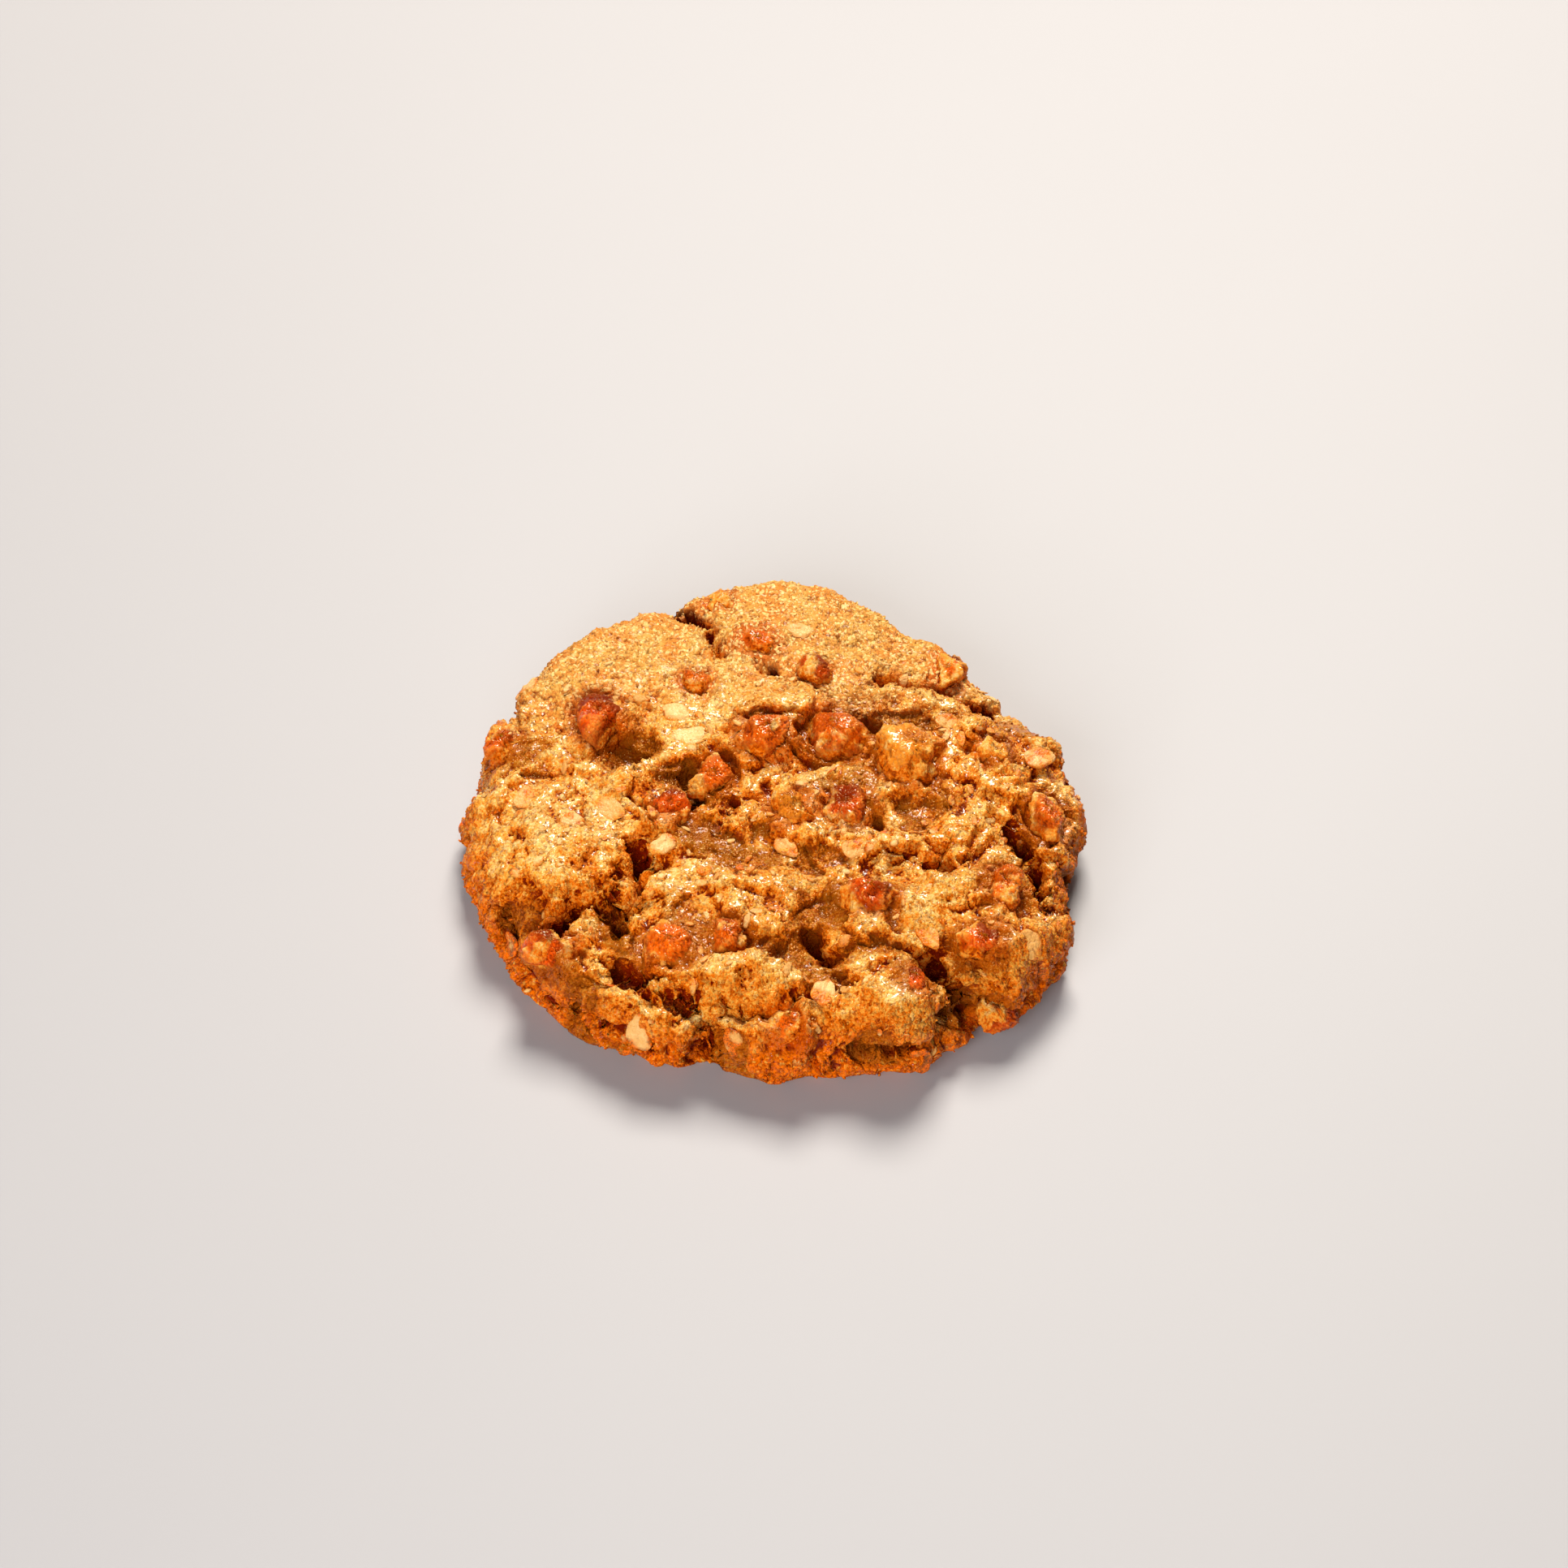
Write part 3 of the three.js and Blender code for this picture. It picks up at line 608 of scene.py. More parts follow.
def oval_distance(points, centre, length, width, turn):
    """Distance from a centre in half lengths and half widths of a turned oval."""
    angle = math.radians(turn)
    apart = points - centre
    along = apart[:, 0] * math.cos(angle) + apart[:, 1] * math.sin(angle)
    across = apart[:, 1] * math.cos(angle) - apart[:, 0] * math.sin(angle)
    return np.sqrt((2 * along / length) ** 2 + (2 * across / width) ** 2 + (2 * apart[:, 2] / width) ** 2)


def line_distance(points, line):
    """Distance from each point to the nearest stretch of a line of points."""
    distance = np.full(len(points), np.inf)
    for start, end in zip(line[:-1], line[1:]):
        way = end - start
        share = np.clip((points - start) @ way / (way @ way), 0, 1)
        distance = np.minimum(distance, np.linalg.norm(points - start - share[:, None] * way, axis=1))
    return distance


# Meshes from arrays

def ring_grid(rings):
    """t, angle and triangles of a disc of rings with 6, 12, 18 ... points round one middle point."""
    counts = np.maximum(6 * np.arange(rings + 1), 1)
    starts = np.concatenate([[0], np.cumsum(counts)])
    ring_of = np.repeat(np.arange(rings + 1), counts)
    step_of = np.arange(starts[-1]) - starts[ring_of]
    triangles = []
    for ring in range(rings):
        sector, step = np.divmod(np.arange(6 * (ring + 1)), ring + 1)
        inner = starts[ring] + (sector * ring + step) % counts[ring]
        outer = starts[ring + 1] + np.arange(6 * (ring + 1))
        outer_next = starts[ring + 1] + (np.arange(6 * (ring + 1)) + 1) % counts[ring + 1]
        triangles.append(np.stack([inner, outer, outer_next], axis=1))
        inner_next = starts[ring] + (sector * ring + step + 1) % counts[ring]
        pairs = np.stack([inner, outer_next, inner_next], axis=1)
        triangles.append(pairs[step < ring])
    return ring_of / rings, 2 * math.pi * step_of / counts[ring_of], np.concatenate(triangles)


def ball_grid(rows, columns):
    """Unit directions and triangles of a ball: rows of points between two closed poles."""
    tilt = math.pi * np.arange(1, rows + 1) / (rows + 1)
    turn = 2 * math.pi * np.arange(columns) / columns
    tilt, turn = np.meshgrid(tilt, turn, indexing="ij")
    ring = np.stack([np.sin(tilt) * np.cos(turn), np.sin(tilt) * np.sin(turn), np.cos(tilt)], axis=-1)
    directions = np.concatenate([[(0, 0, 1)], ring.reshape(-1, 3), [(0, 0, -1)]])
    index = 1 + np.arange(rows * columns).reshape(rows, columns)
    beside = np.roll(index, -1, axis=1)
    last = rows * columns + 1
    top = np.stack([np.zeros_like(index[0]), index[0], beside[0]], axis=1)
    bottom = np.stack([np.full_like(index[0], last), beside[-1], index[-1]], axis=1)
    first = np.stack([index[:-1], index[1:], beside[1:]], axis=-1).reshape(-1, 3)
    other = np.stack([index[:-1], beside[1:], beside[:-1]], axis=-1).reshape(-1, 3)
    return directions, np.concatenate([top, first, other, bottom])


def vertex_normals(points, triangles):
    """Unit normals: the cross products of the triangles summed at their corners."""
    a, b, c = (points[triangles[:, corner]] for corner in range(3))
    face = np.cross(b - a, c - a)
    corners = triangles.ravel()
    sums = [np.bincount(corners, np.repeat(face[:, axis], 3), len(points)) for axis in range(3)]
    total = np.stack(sums, axis=1)
    return total / np.maximum(np.linalg.norm(total, axis=1, keepdims=True), 1e-12)


def smoothed(values, triangles, rounds):
    """Values averaged with their neighbours along the edges, several times over."""
    start = triangles.ravel()
    end = np.roll(triangles, -1, axis=1).ravel()
    count = np.maximum(np.bincount(start, minlength=len(values)), 1)
    result = values.reshape(len(values), -1).copy()
    for _ in range(rounds):
        near = [np.bincount(start, result[end, column], len(values)) for column in range(result.shape[1])]
        result = 0.5 * result + 0.5 * np.stack(near, axis=1) / count[:, None]
    return result.reshape(values.shape)


def read_points(mesh):
    """A mesh's points in millimetres."""
    points = np.zeros(3 * len(mesh.vertices), np.float32)
    mesh.vertices.foreach_get("co", points)
    return points.reshape(-1, 3) / MM


def add_piece(name, points, triangles, material, nodes, attributes):
    """Puts millimetre points and triangles into a new object that rides on the cookie."""
    mesh = bpy.data.meshes.new(name)
    mesh.vertices.add(len(points))
    mesh.vertices.foreach_set("co", (points * MM).astype(np.float32).ravel())
    mesh.loops.add(triangles.size)
    mesh.loops.foreach_set("vertex_index", triangles.astype(np.int32).ravel())
    mesh.polygons.add(len(triangles))
    mesh.polygons.foreach_set("loop_start", np.arange(0, triangles.size, 3, dtype=np.int32))
    mesh.update(calc_edges=True)
    mesh.shade_smooth()
    for label, values in attributes.items():
        layer = mesh.attributes.new(label, "FLOAT", "POINT")
        layer.data.foreach_set("value", values.astype(np.float32))
    mesh.materials.append(material)
    piece = bpy.data.objects.new(name, mesh)
    bpy.context.scene.collection.objects.link(piece)
    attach(piece, BODY)
    if nodes:
        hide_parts(*nodes)


def joined(points, triangles):
    """Many copies of one mesh as one: points is copies by corners by three."""
    copies, corners = points.shape[:2]
    shifts = corners * np.arange(copies)[:, None, None]
    return points.reshape(-1, 3), (triangles[None] + shifts).reshape(-1, 3)


def turned(points, stands, turns, tilts):
    """Copies of points with +Z stood along each stand, after a tilt about X and a turn about Z.

    points is copies by corners by three, stands copies by three, and the angles are in radians."""
    c, s = np.cos(tilts)[:, None], np.sin(tilts)[:, None]
    x, y, z = np.moveaxis(points, -1, 0)
    y, z = y * c - z * s, y * s + z * c
    c, s = np.cos(turns)[:, None], np.sin(turns)[:, None]
    x, y = x * c - y * s, x * s + y * c
    axis = np.cross((0, 0, 1), stands)
    cosine = stands[:, 2][:, None, None]
    axis = axis[:, None, :]
    flat = np.stack([x, y, z], axis=-1)
    along = np.sum(axis * flat, axis=-1, keepdims=True)
    return flat * cosine + np.cross(axis, flat) + axis * along / (1 + cosine)


# Shader nodes

# Sizes of the features of baked surfaces and of the floor, in millimetres
BROAD_SIZE = 6
CLUSTER_SIZE = 2.6
FINE_SIZE = 1.9
FRECKLE_SIZE = 1.2
LUMP_SIZE = 0.95
GRAIN_SIZE = 0.46
DUST_SIZE = 0.4
SPARK_SIZE = 0.3
CLOUD_SIZE = 160

# Values that are the same all over a surface, by the names of the shader's sockets
WARM_GLOSS = (1, 0.72, 0.2, 1)
WARM_DEPTHS = (1.0, 0.45, 0.16)
DOUGH_FINISH = {
    "Coat Roughness": 0.18,
    "Specular IOR Level": 0.4,
    "Specular Tint": WARM_GLOSS,
    "Subsurface Weight": 0.12,
    "Subsurface Radius": WARM_DEPTHS,
    "Subsurface Scale": 1.2 * MM,
}
APPLE_FINISH = {
    "Coat Roughness": 0.12,
    "Specular IOR Level": 0.45,
    "Specular Tint": WARM_GLOSS,
    "Subsurface Weight": 0.18,
    "Subsurface Radius": WARM_DEPTHS,
    "Subsurface Scale": 1.6 * MM,
}
OAT_FINISH = {
    "Specular IOR Level": 0.4,
    "Subsurface Weight": 0.2,
    "Subsurface Radius": (1.0, 0.7, 0.4),
    "Subsurface Scale": 0.8 * MM,
}

# Depths of the bumps, in millimetres
DOUGH_BUMP = 0.25
APPLE_BUMP = 0.22
OAT_BUMP = 0.1


class Wiring:
    """Adds shader nodes to one tree and wires their sockets. A plain number or colour sets a socket."""

    def __init__(self, tree):
        self.tree = tree

    def put(self, value, socket):
        """Links an output to the socket, or sets a plain value on it."""
        if isinstance(value, bpy.types.NodeSocket):
            self.tree.links.new(value, socket)
        elif socket.type == "RGBA" and len(value) == 3:
            socket.default_value = (*value, 1)
        else:
            socket.default_value = value

    def node(self, kind, inputs=None, **settings):
        """A new node with its settings, and with values or links by the names or numbers of its inputs."""
        made = self.tree.nodes.new(kind)
        for name, value in settings.items():
            setattr(made, name, value)
        for name, value in (inputs or {}).items():
            self.put(value, made.inputs[name])
        return made

    def mix(self, share, first, second):
        """First colour at share 0, second at 1."""
        made = self.node("ShaderNodeMix", {0: share, 6: first, 7: second}, data_type="RGBA")
        return made.outputs[2]

    def maths(self, operation, first, second, clamp=False):
        """Two values put together by one operation."""
        made = self.node("ShaderNodeMath", {0: first, 1: second}, operation=operation, use_clamp=clamp)
        return made.outputs[0]

    def product(self, first, second):
        """First value times the second."""
        return self.maths("MULTIPLY", first, second)

    def tinted(self, colour, target, mask, share):
        """A colour mixed with a target colour by mask times share."""
        return self.mix(self.product(mask, share), colour, target)

    def total(self, *terms, start=0.0):
        """Start plus the sum of values, each times its weight."""
        result = start
        for value, weight in terms:
            made = self.node("ShaderNodeMath", {0: value, 1: weight, 2: result}, operation="MULTIPLY_ADD")
            result = made.outputs[0]
        return result

    def ramp(self, value, stops):
        """Colour by value along stops of (place, colour)."""
        made = self.node("ShaderNodeValToRGB", {0: value})
        elements = made.color_ramp.elements
        for place, _ in stops[1:-1]:
            elements.new(place)
        for element, (place, colour) in zip(elements, stops):
            element.position = place
            element.color = (*colour, 1)
        return made.outputs[0]

    def band(self, value, low, high, to_low=0.0, to_high=1.0):
        """to_low at low, to_high at high, eased between."""
        made = self.node("ShaderNodeMapRange", {0: value, 1: low, 2: high, 3: to_low, 4: to_high},
                         interpolation_type="SMOOTHSTEP")
        return made.outputs[0]

    def noise(self, where, size, detail, roughness=0.55):
        """Noise in 0..1 with features of about one size in millimetres."""
        inputs = {"Vector": where, "Scale": 1 / (size * MM), "Detail": detail, "Roughness": roughness}
        return self.node("ShaderNodeTexNoise", inputs).outputs[0]

    def cells(self, where, size):
        """Distance from the middle of the nearest cell, and that cell's colour, for cells of one size."""
        return self.node("ShaderNodeTexVoronoi", {"Vector": where, "Scale": 1 / (size * MM)}).outputs

    def parts(self, colour):
        """Red, green and blue of a colour."""
        return self.node("ShaderNodeSeparateColor", {0: colour}).outputs

    def attribute(self, name):
        """A value that the mesh holds for each of its points."""
        return self.node("ShaderNodeAttribute", attribute_name=name).outputs["Fac"]

    def place(self):
        """Object coordinates."""
        return self.node("ShaderNodeTexCoord").outputs["Object"]


def new_group(name, inputs, outputs):
    """An empty shader node group with float inputs (name: default) and outputs (name: socket type)."""
    group = bpy.data.node_groups.new(name, "ShaderNodeTree")
    group.interface.new_socket("Place", in_out="INPUT", socket_type="NodeSocketVector")
    for label, default in inputs.items():
        socket = group.interface.new_socket(label, in_out="INPUT", socket_type="NodeSocketFloat")
        socket.default_value = default
    for label, kind in outputs.items():
        group.interface.new_socket(label, in_out="OUTPUT", socket_type=f"NodeSocket{kind}")
    wiring = Wiring(group)
    return group, wiring, wiring.node("NodeGroupInput").outputs, wiring.node("NodeGroupOutput").inputs


def baked_grain_group():
    """Grain of every baked surface: tones, pits, wet patches, glints and the relief of rounded grains."""
    if "Baked grain" in bpy.data.node_groups:
        return bpy.data.node_groups["Baked grain"]
    outputs = dict.fromkeys(("Broad tone", "Fine tone", "Grain", "Pits", "Wet", "Glint", "Relief"), "Float")
    group, wiring, given, out = new_group("Baked grain", {"Size": 1.0}, outputs)
    inverse = wiring.maths("DIVIDE", 1.0, given["Size"])
    scaled = wiring.node("ShaderNodeVectorMath", {0: given["Place"], "Scale": inverse}, operation="SCALE")
    place = scaled.outputs[0]
    wiring.put(wiring.band(wiring.noise(place, BROAD_SIZE, 4, 0.6), 0.36, 0.64), out["Broad tone"])
    dust = wiring.noise(place, DUST_SIZE, 2, 0.6)
    fine = wiring.maths("ADD", wiring.noise(place, FINE_SIZE, 3, 0.6), dust)
    wiring.put(wiring.band(fine, 0.8, 1.2), out["Fine tone"])
    grains = wiring.cells(place, GRAIN_SIZE)
    wet_lot, pit_lot, tone_lot = wiring.parts(grains["Color"])
    wiring.put(tone_lot, out["Grain"])
    clusters = wiring.band(wiring.noise(place, CLUSTER_SIZE, 3, 0.6), 0.35, 0.65)
    wiring.put(wiring.band(pit_lot, wiring.band(clusters, 0.0, 1.0, 0.3, 0.06), 0.0), out["Pits"])
    wiring.put(wiring.band(wiring.total((clusters, 0.6), (wet_lot, 0.4)), 0.3, 0.5), out["Wet"])
    spark = wiring.parts(wiring.cells(place, SPARK_SIZE)["Color"])[0]
    bar = wiring.band(clusters, 0.0, 1.0, 0.75, 0.35)
    wiring.put(wiring.band(wiring.maths("SUBTRACT", spark, bar), 0.0, 0.06), out["Glint"])
    small = wiring.maths("POWER", grains["Distance"], 2.0)
    large = wiring.maths("POWER", wiring.cells(place, LUMP_SIZE)["Distance"], 2.0)
    wiring.put(wiring.total((small, -1.0), (large, -1.6), (dust, 0.3)), out["Relief"])
    return group


def new_material(name):
    """A material with its Principled shader, and the wiring of its tree."""
    material = bpy.data.materials.new(name)
    material.use_nodes = True
    shader = material.node_tree.nodes["Principled BSDF"]
    return material, shader, Wiring(material.node_tree)


def grain_in(wiring, size):
    """The shared grain placed in a material at its own size."""
    made = wiring.node("ShaderNodeGroup", node_tree=baked_grain_group())
    wiring.put(wiring.place(), made.inputs["Place"])
    wiring.put(size, made.inputs["Size"])
    return made.outputs


def freckles(wiring):
    """Share of the brown freckles that dough has all over."""
    return wiring.band(wiring.noise(wiring.place(), FRECKLE_SIZE, 5, 0.8), 0.51, 0.62, 0.0, 0.6)


def add_finish(wiring, shader, values, height, depth):
    """Sets plain values on the shader's own sockets, and puts in a bump of one depth in millimetres."""
    for name, value in values.items():
        shader.inputs[name].default_value = value
    bump = wiring.node("ShaderNodeBump", {"Strength": 1.0, "Distance": depth * MM, "Height": height})
    wiring.put(bump.outputs[0], shader.inputs["Normal"])


def dough_stops(look):
    """Colours of the dough by tone, from the painted shade of deep hollows over orange and gold to pale
    grain; faces lit by painted light reach the gold.
    """
    return (0.0, look.crevice), (0.28, look.orange), (0.6, look.gold), (1.0, look.pale)


def wall_stops(look):
    """Colours of the browned wall from grain to grain."""
    return (0.0, look.juice), (0.3, look.orange), (0.85, look.wall), (1.0, look.gold)


def dough_material(look):
    """Baked dough: gold to orange by tone, with painted light on faces towards the key light and painted
    shade in hollows and crevices; crust and wall by place, dark glossy syrup.
    """
    if "Baked dough" in bpy.data.materials:
        return bpy.data.materials["Baked dough"]
    material, shader, wiring = new_material("Baked dough")
    grain = grain_in(wiring, 1.0)
    labels = ("crust", "syrup", "hollow", "wall", "dry")
    crust, syrup, hollow, wall, dry = (wiring.attribute(label) for label in labels)
    grain_in_shade = wiring.product(hollow, grain["Grain"])
    # Painted light and shade in the tone: dry lifts faces towards the key light, and hollow darkens the
    # recesses, where lighter grains show through
    tone = wiring.total(
        (wiring.attribute("tone"), 0.22), (dry, 0.34), (crust, -0.06), (grain["Fine tone"], 0.3),
        (grain["Grain"], 0.34), (hollow, -0.95), (grain_in_shade, 0.55), (syrup, -0.3), start=-0.08)
    colour = wiring.ramp(tone, dough_stops(look))
    colour = wiring.tinted(colour, look.crust, crust, 0.6)
    colour = wiring.tinted(colour, look.orange, crust, wiring.band(grain["Broad tone"], 0.3, 1.0, 0.0, 0.4))
    # Painted shade on the wall: it goes to the shade colour in its hollows, and also on its brown grains,
    # which are grain tone
    brown_grains = wiring.band(grain["Fine tone"], 0.6, 1.0, 0.0, 0.4)
    shade = wiring.maths("MAXIMUM", wiring.band(hollow, 0.1, 0.8), brown_grains)
    browned = wiring.mix(shade, wiring.ramp(grain["Grain"], wall_stops(look)), look.crevice)
    colour = wiring.mix(wall, colour, browned)
    colour = wiring.mix(wiring.attribute("juice"), colour, look.juice)
    colour = wiring.tinted(colour, look.syrup, syrup, 0.75)
    colour = wiring.tinted(colour, look.crevice, grain["Pits"], 0.4)
    colour = wiring.mix(freckles(wiring), colour, look.crevice)
    colour = wiring.tinted(colour, look.pale, crust, wiring.band(grain["Grain"], 0.7, 0.85, 0.0, 0.8))
    wiring.put(colour, shader.inputs["Base Color"])
    wet = wiring.product(grain["Wet"], wiring.total((crust, -0.6), (wall, -0.6), start=1.0))
    wet = wiring.maths("MAXIMUM", wet, syrup)
    wiring.put(wiring.band(wet, 0.0, 1.0, 0.85, 0.2), shader.inputs["Roughness"])
    bare = wiring.total((crust, -0.8), (wall, -0.5), (syrup, -0.6), start=1.0)
    open_side = wiring.maths("MAXIMUM", wiring.band(dry, 0.0, 0.7), wall)
    bare = wiring.product(wiring.maths("MAXIMUM", bare, 0.0), open_side)
    wiring.put(wiring.product(grain["Glint"], bare), shader.inputs["Coat Weight"])
    add_finish(wiring, shader, DOUGH_FINISH, grain["Relief"], DOUGH_BUMP)
    return material


def apple_material(name, flesh, peel, dough):
    """Baked apple: translucent flesh that darkens to red peel, wet, wrinkled and smeared with dough, with
    painted shade in its creases and towards the dough and painted highlights on its ridges.
    """
    if name in bpy.data.materials:
        return bpy.data.materials[name]
    material, shader, wiring = new_material(name)
    grain = grain_in(wiring, 1.3)
    labels = ("peel", "hollow", "smear", "ridge", "edge", "up")
    skin, hollow, smear, ridge, edge, up = (wiring.attribute(label) for label in labels)
    light = tuple(min(1.0, 1.8 * share) for share in flesh)
    colour = wiring.mix(grain["Broad tone"], flesh, light)
    # Painted highlight: the ridges of a piece go towards gold
    colour = wiring.tinted(colour, dough.gold, ridge, 0.6)
    colour = wiring.tinted(colour, peel, grain["Fine tone"], 0.55)
    colour = wiring.tinted(colour, light, grain["Grain"], 0.45)
    # The piece darkens to peel in its creases, a painted shade, and towards the dough it sinks in, browned
    # peel with painted shade; skin is its own peel
    for mask, share in ((edge, 0.5), (hollow, 0.9), (skin, 0.85)):
        colour = wiring.tinted(colour, peel, mask, share)
    # Painted light: the dough smeared on a piece is lighter where up is high, on faces towards the key
    # light
    crumbly = wiring.total((grain["Fine tone"], 0.4), (grain["Grain"], 0.25), (up, 0.35))
    colour = wiring.tinted(colour, wiring.ramp(crumbly, dough_stops(dough)), smear, 0.9)
    wiring.put(colour, shader.inputs["Base Color"])
    dry = wiring.maths("MAXIMUM", smear, wiring.maths("SUBTRACT", 1.0, grain["Wet"]))
    wiring.put(wiring.band(dry, 0.0, 1.0, 0.16, 0.6), shader.inputs["Roughness"])
    bare = wiring.total((smear, -0.3), (skin, -0.6), start=1.0)
    bare = wiring.product(wiring.maths("MAXIMUM", bare, 0.0), up)
    wiring.put(wiring.product(grain["Glint"], bare), shader.inputs["Coat Weight"])
    add_finish(wiring, shader, APPLE_FINISH, grain["Relief"], APPLE_BUMP)
    return material


def oat_material(look, dough):
    """Rolled oat: cream to toasted by each flake's own tone, with dough smeared over parts of it."""
    material, shader, wiring = new_material("Rolled oat")
    grain = grain_in(wiring, 0.7)
    fine = grain["Fine tone"]
    share = wiring.maths("ADD", wiring.attribute("toast"), wiring.product(fine, 0.3), clamp=True)
    colour = wiring.mix(share, look.cream, look.toasted)
    crumbly = wiring.mix(fine, dough.orange, dough.gold)
    browned = wiring.mix(fine, dough.syrup, dough.wall)
    crumbly = wiring.mix(wiring.attribute("wall"), crumbly, browned)
    crumbly = wiring.mix(freckles(wiring), crumbly, dough.crevice)
    colour = wiring.mix(wiring.attribute("smear"), colour, crumbly)
    wiring.put(colour, shader.inputs["Base Color"])
    wiring.put(wiring.band(fine, 0.0, 1.0, 0.36, 0.6), shader.inputs["Roughness"])
    add_finish(wiring, shader, OAT_FINISH, grain["Relief"], OAT_BUMP)
    return material


def floor_material(colour):
    """Pale matt floor with a faint cloudy tone."""
    material, shader, wiring = new_material("Pale floor")
    darker = tuple(0.96 * share for share in colour)
    cloudy = wiring.mix(wiring.noise(wiring.place(), CLOUD_SIZE, 3), colour, darker)
    wiring.put(cloudy, shader.inputs["Base Color"])
    wiring.put(0.55, shader.inputs["Roughness"])
    return material


# Pieces

class AppleForm:
    """One apple piece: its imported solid's corners, rounded off."""

    def __init__(self, node, softness):
        corners = np.unique(np.round(read_points(frame["nodes"][node].data), 4), axis=0)
        self.centre = corners.mean(axis=0)
        self.reach = np.linalg.norm(corners - self.centre, axis=1)
        self.directions = (corners - self.centre) / self.reach[:, None]
        self.softness = softness

    def radius(self, directions):
        """Mean of the corners' distances, each weighted by exp(softness * (cosine to it - 1))."""
        weight = np.exp(self.softness * (directions @ self.directions.T - 1))
        return weight @ self.reach / weight.sum(axis=1)

    def diced(self, directions, number, left):
        """The rounded radius cut flat by planes that stand all round the piece.

        It is (radius ** -p + sum of (cosine / distance) ** p) ** (-1 / p), with p the power of the cuts."""
        step = np.arange(APPLE_CUTS, dtype=float)
        height = 1 - 2 * (step + 0.5) / APPLE_CUTS
        turn = GOLDEN_ANGLE * step + CUT_TURN * corner_value(step, float(number), 5.0)
        level = np.sqrt(1 - height ** 2)
        normals = np.stack([level * np.cos(turn), level * np.sin(turn), height], axis=1)
        distance = self.radius(normals) * (left + CUT_SPREAD * corner_value(step, float(number), 8.0))
        planes = np.maximum(directions @ normals.T, 0) / distance
        rounded = self.radius(directions) ** -CUT_POWER
        return (rounded + (planes ** CUT_POWER).sum(axis=1)) ** (-1 / CUT_POWER)

    def gap(self, points):
        """Distance outwards from the piece's surface along the ray from its centre."""
        apart = points - self.centre
        distance = np.linalg.norm(apart, axis=1)
        return distance - self.radius(apart / np.maximum(distance, 1e-6)[:, None])


def apple_gap(points, forms):
    """Smallest distance outwards to any apple piece, worked out only close to each piece."""
    gap = np.full(len(points), FAR_GAP)
    for form in forms:
        near = np.linalg.norm(points - form.centre, axis=1) < form.reach.max() + GAP_REACH
        gap[near] = np.minimum(gap[near], form.gap(points[near]))
    return gap


def placed_flakes(form, stand):
    """Centre, stand direction, sizes (length, width, turn, lift) and shown share of the solid's oat flakes.

    The flakes of the golden-angle walk are sunk in the wall: their shown share is 0, and the others' is 1.
    A flake too close to an apple piece's box is left out."""
    number = np.arange(WALL_FLAKE_COUNT, dtype=float)
    low, high = WALL_FLAKE_HEIGHTS
    wall = np.stack([
        np.degrees(number * GOLDEN_ANGLE),
        low + (high - low) * corner_value(number, 3, 1),
        WALL_FLAKE_SIZE[0] * (0.8 + 0.4 * corner_value(number, 5, 2)),
        np.full(WALL_FLAKE_COUNT, float(WALL_FLAKE_SIZE[1])),
        360 * corner_value(number, 7, 3),
        18 * corner_value(number, 9, 4),
    ], axis=1)
    top = np.array(TOP_FLAKES, float)
    wall = np.concatenate([[NEAR_WALL_FLAKE], wall])
    spots = [form.top_spot(top[:, 0], top[:, 1]), form.wall_spot(wall[:, 0], wall[:, 1])]
    t, angle = (np.concatenate(pair) for pair in zip(*spots))
    points, stands = form.skin(t, angle)
    centres = points + stand * stands
    sizes = np.concatenate([top[:, 2:], wall[:, 2:]])
    shown = np.repeat((1.0, 1.0, 0.0), (len(TOP_FLAKES), 1, WALL_FLAKE_COUNT))
    keep = np.ones(len(sizes), bool)
    for node in APPLE_NODES:
        low, high = (np.array(corner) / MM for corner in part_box(node))
        outside = np.linalg.norm(np.maximum(np.maximum(low - centres, centres - high), 0), axis=1)
        keep &= outside > sizes[:, 0] / 2 + FLAKE_CLEARANCE
    return centres[keep], stands[keep], sizes[keep], shown[keep]


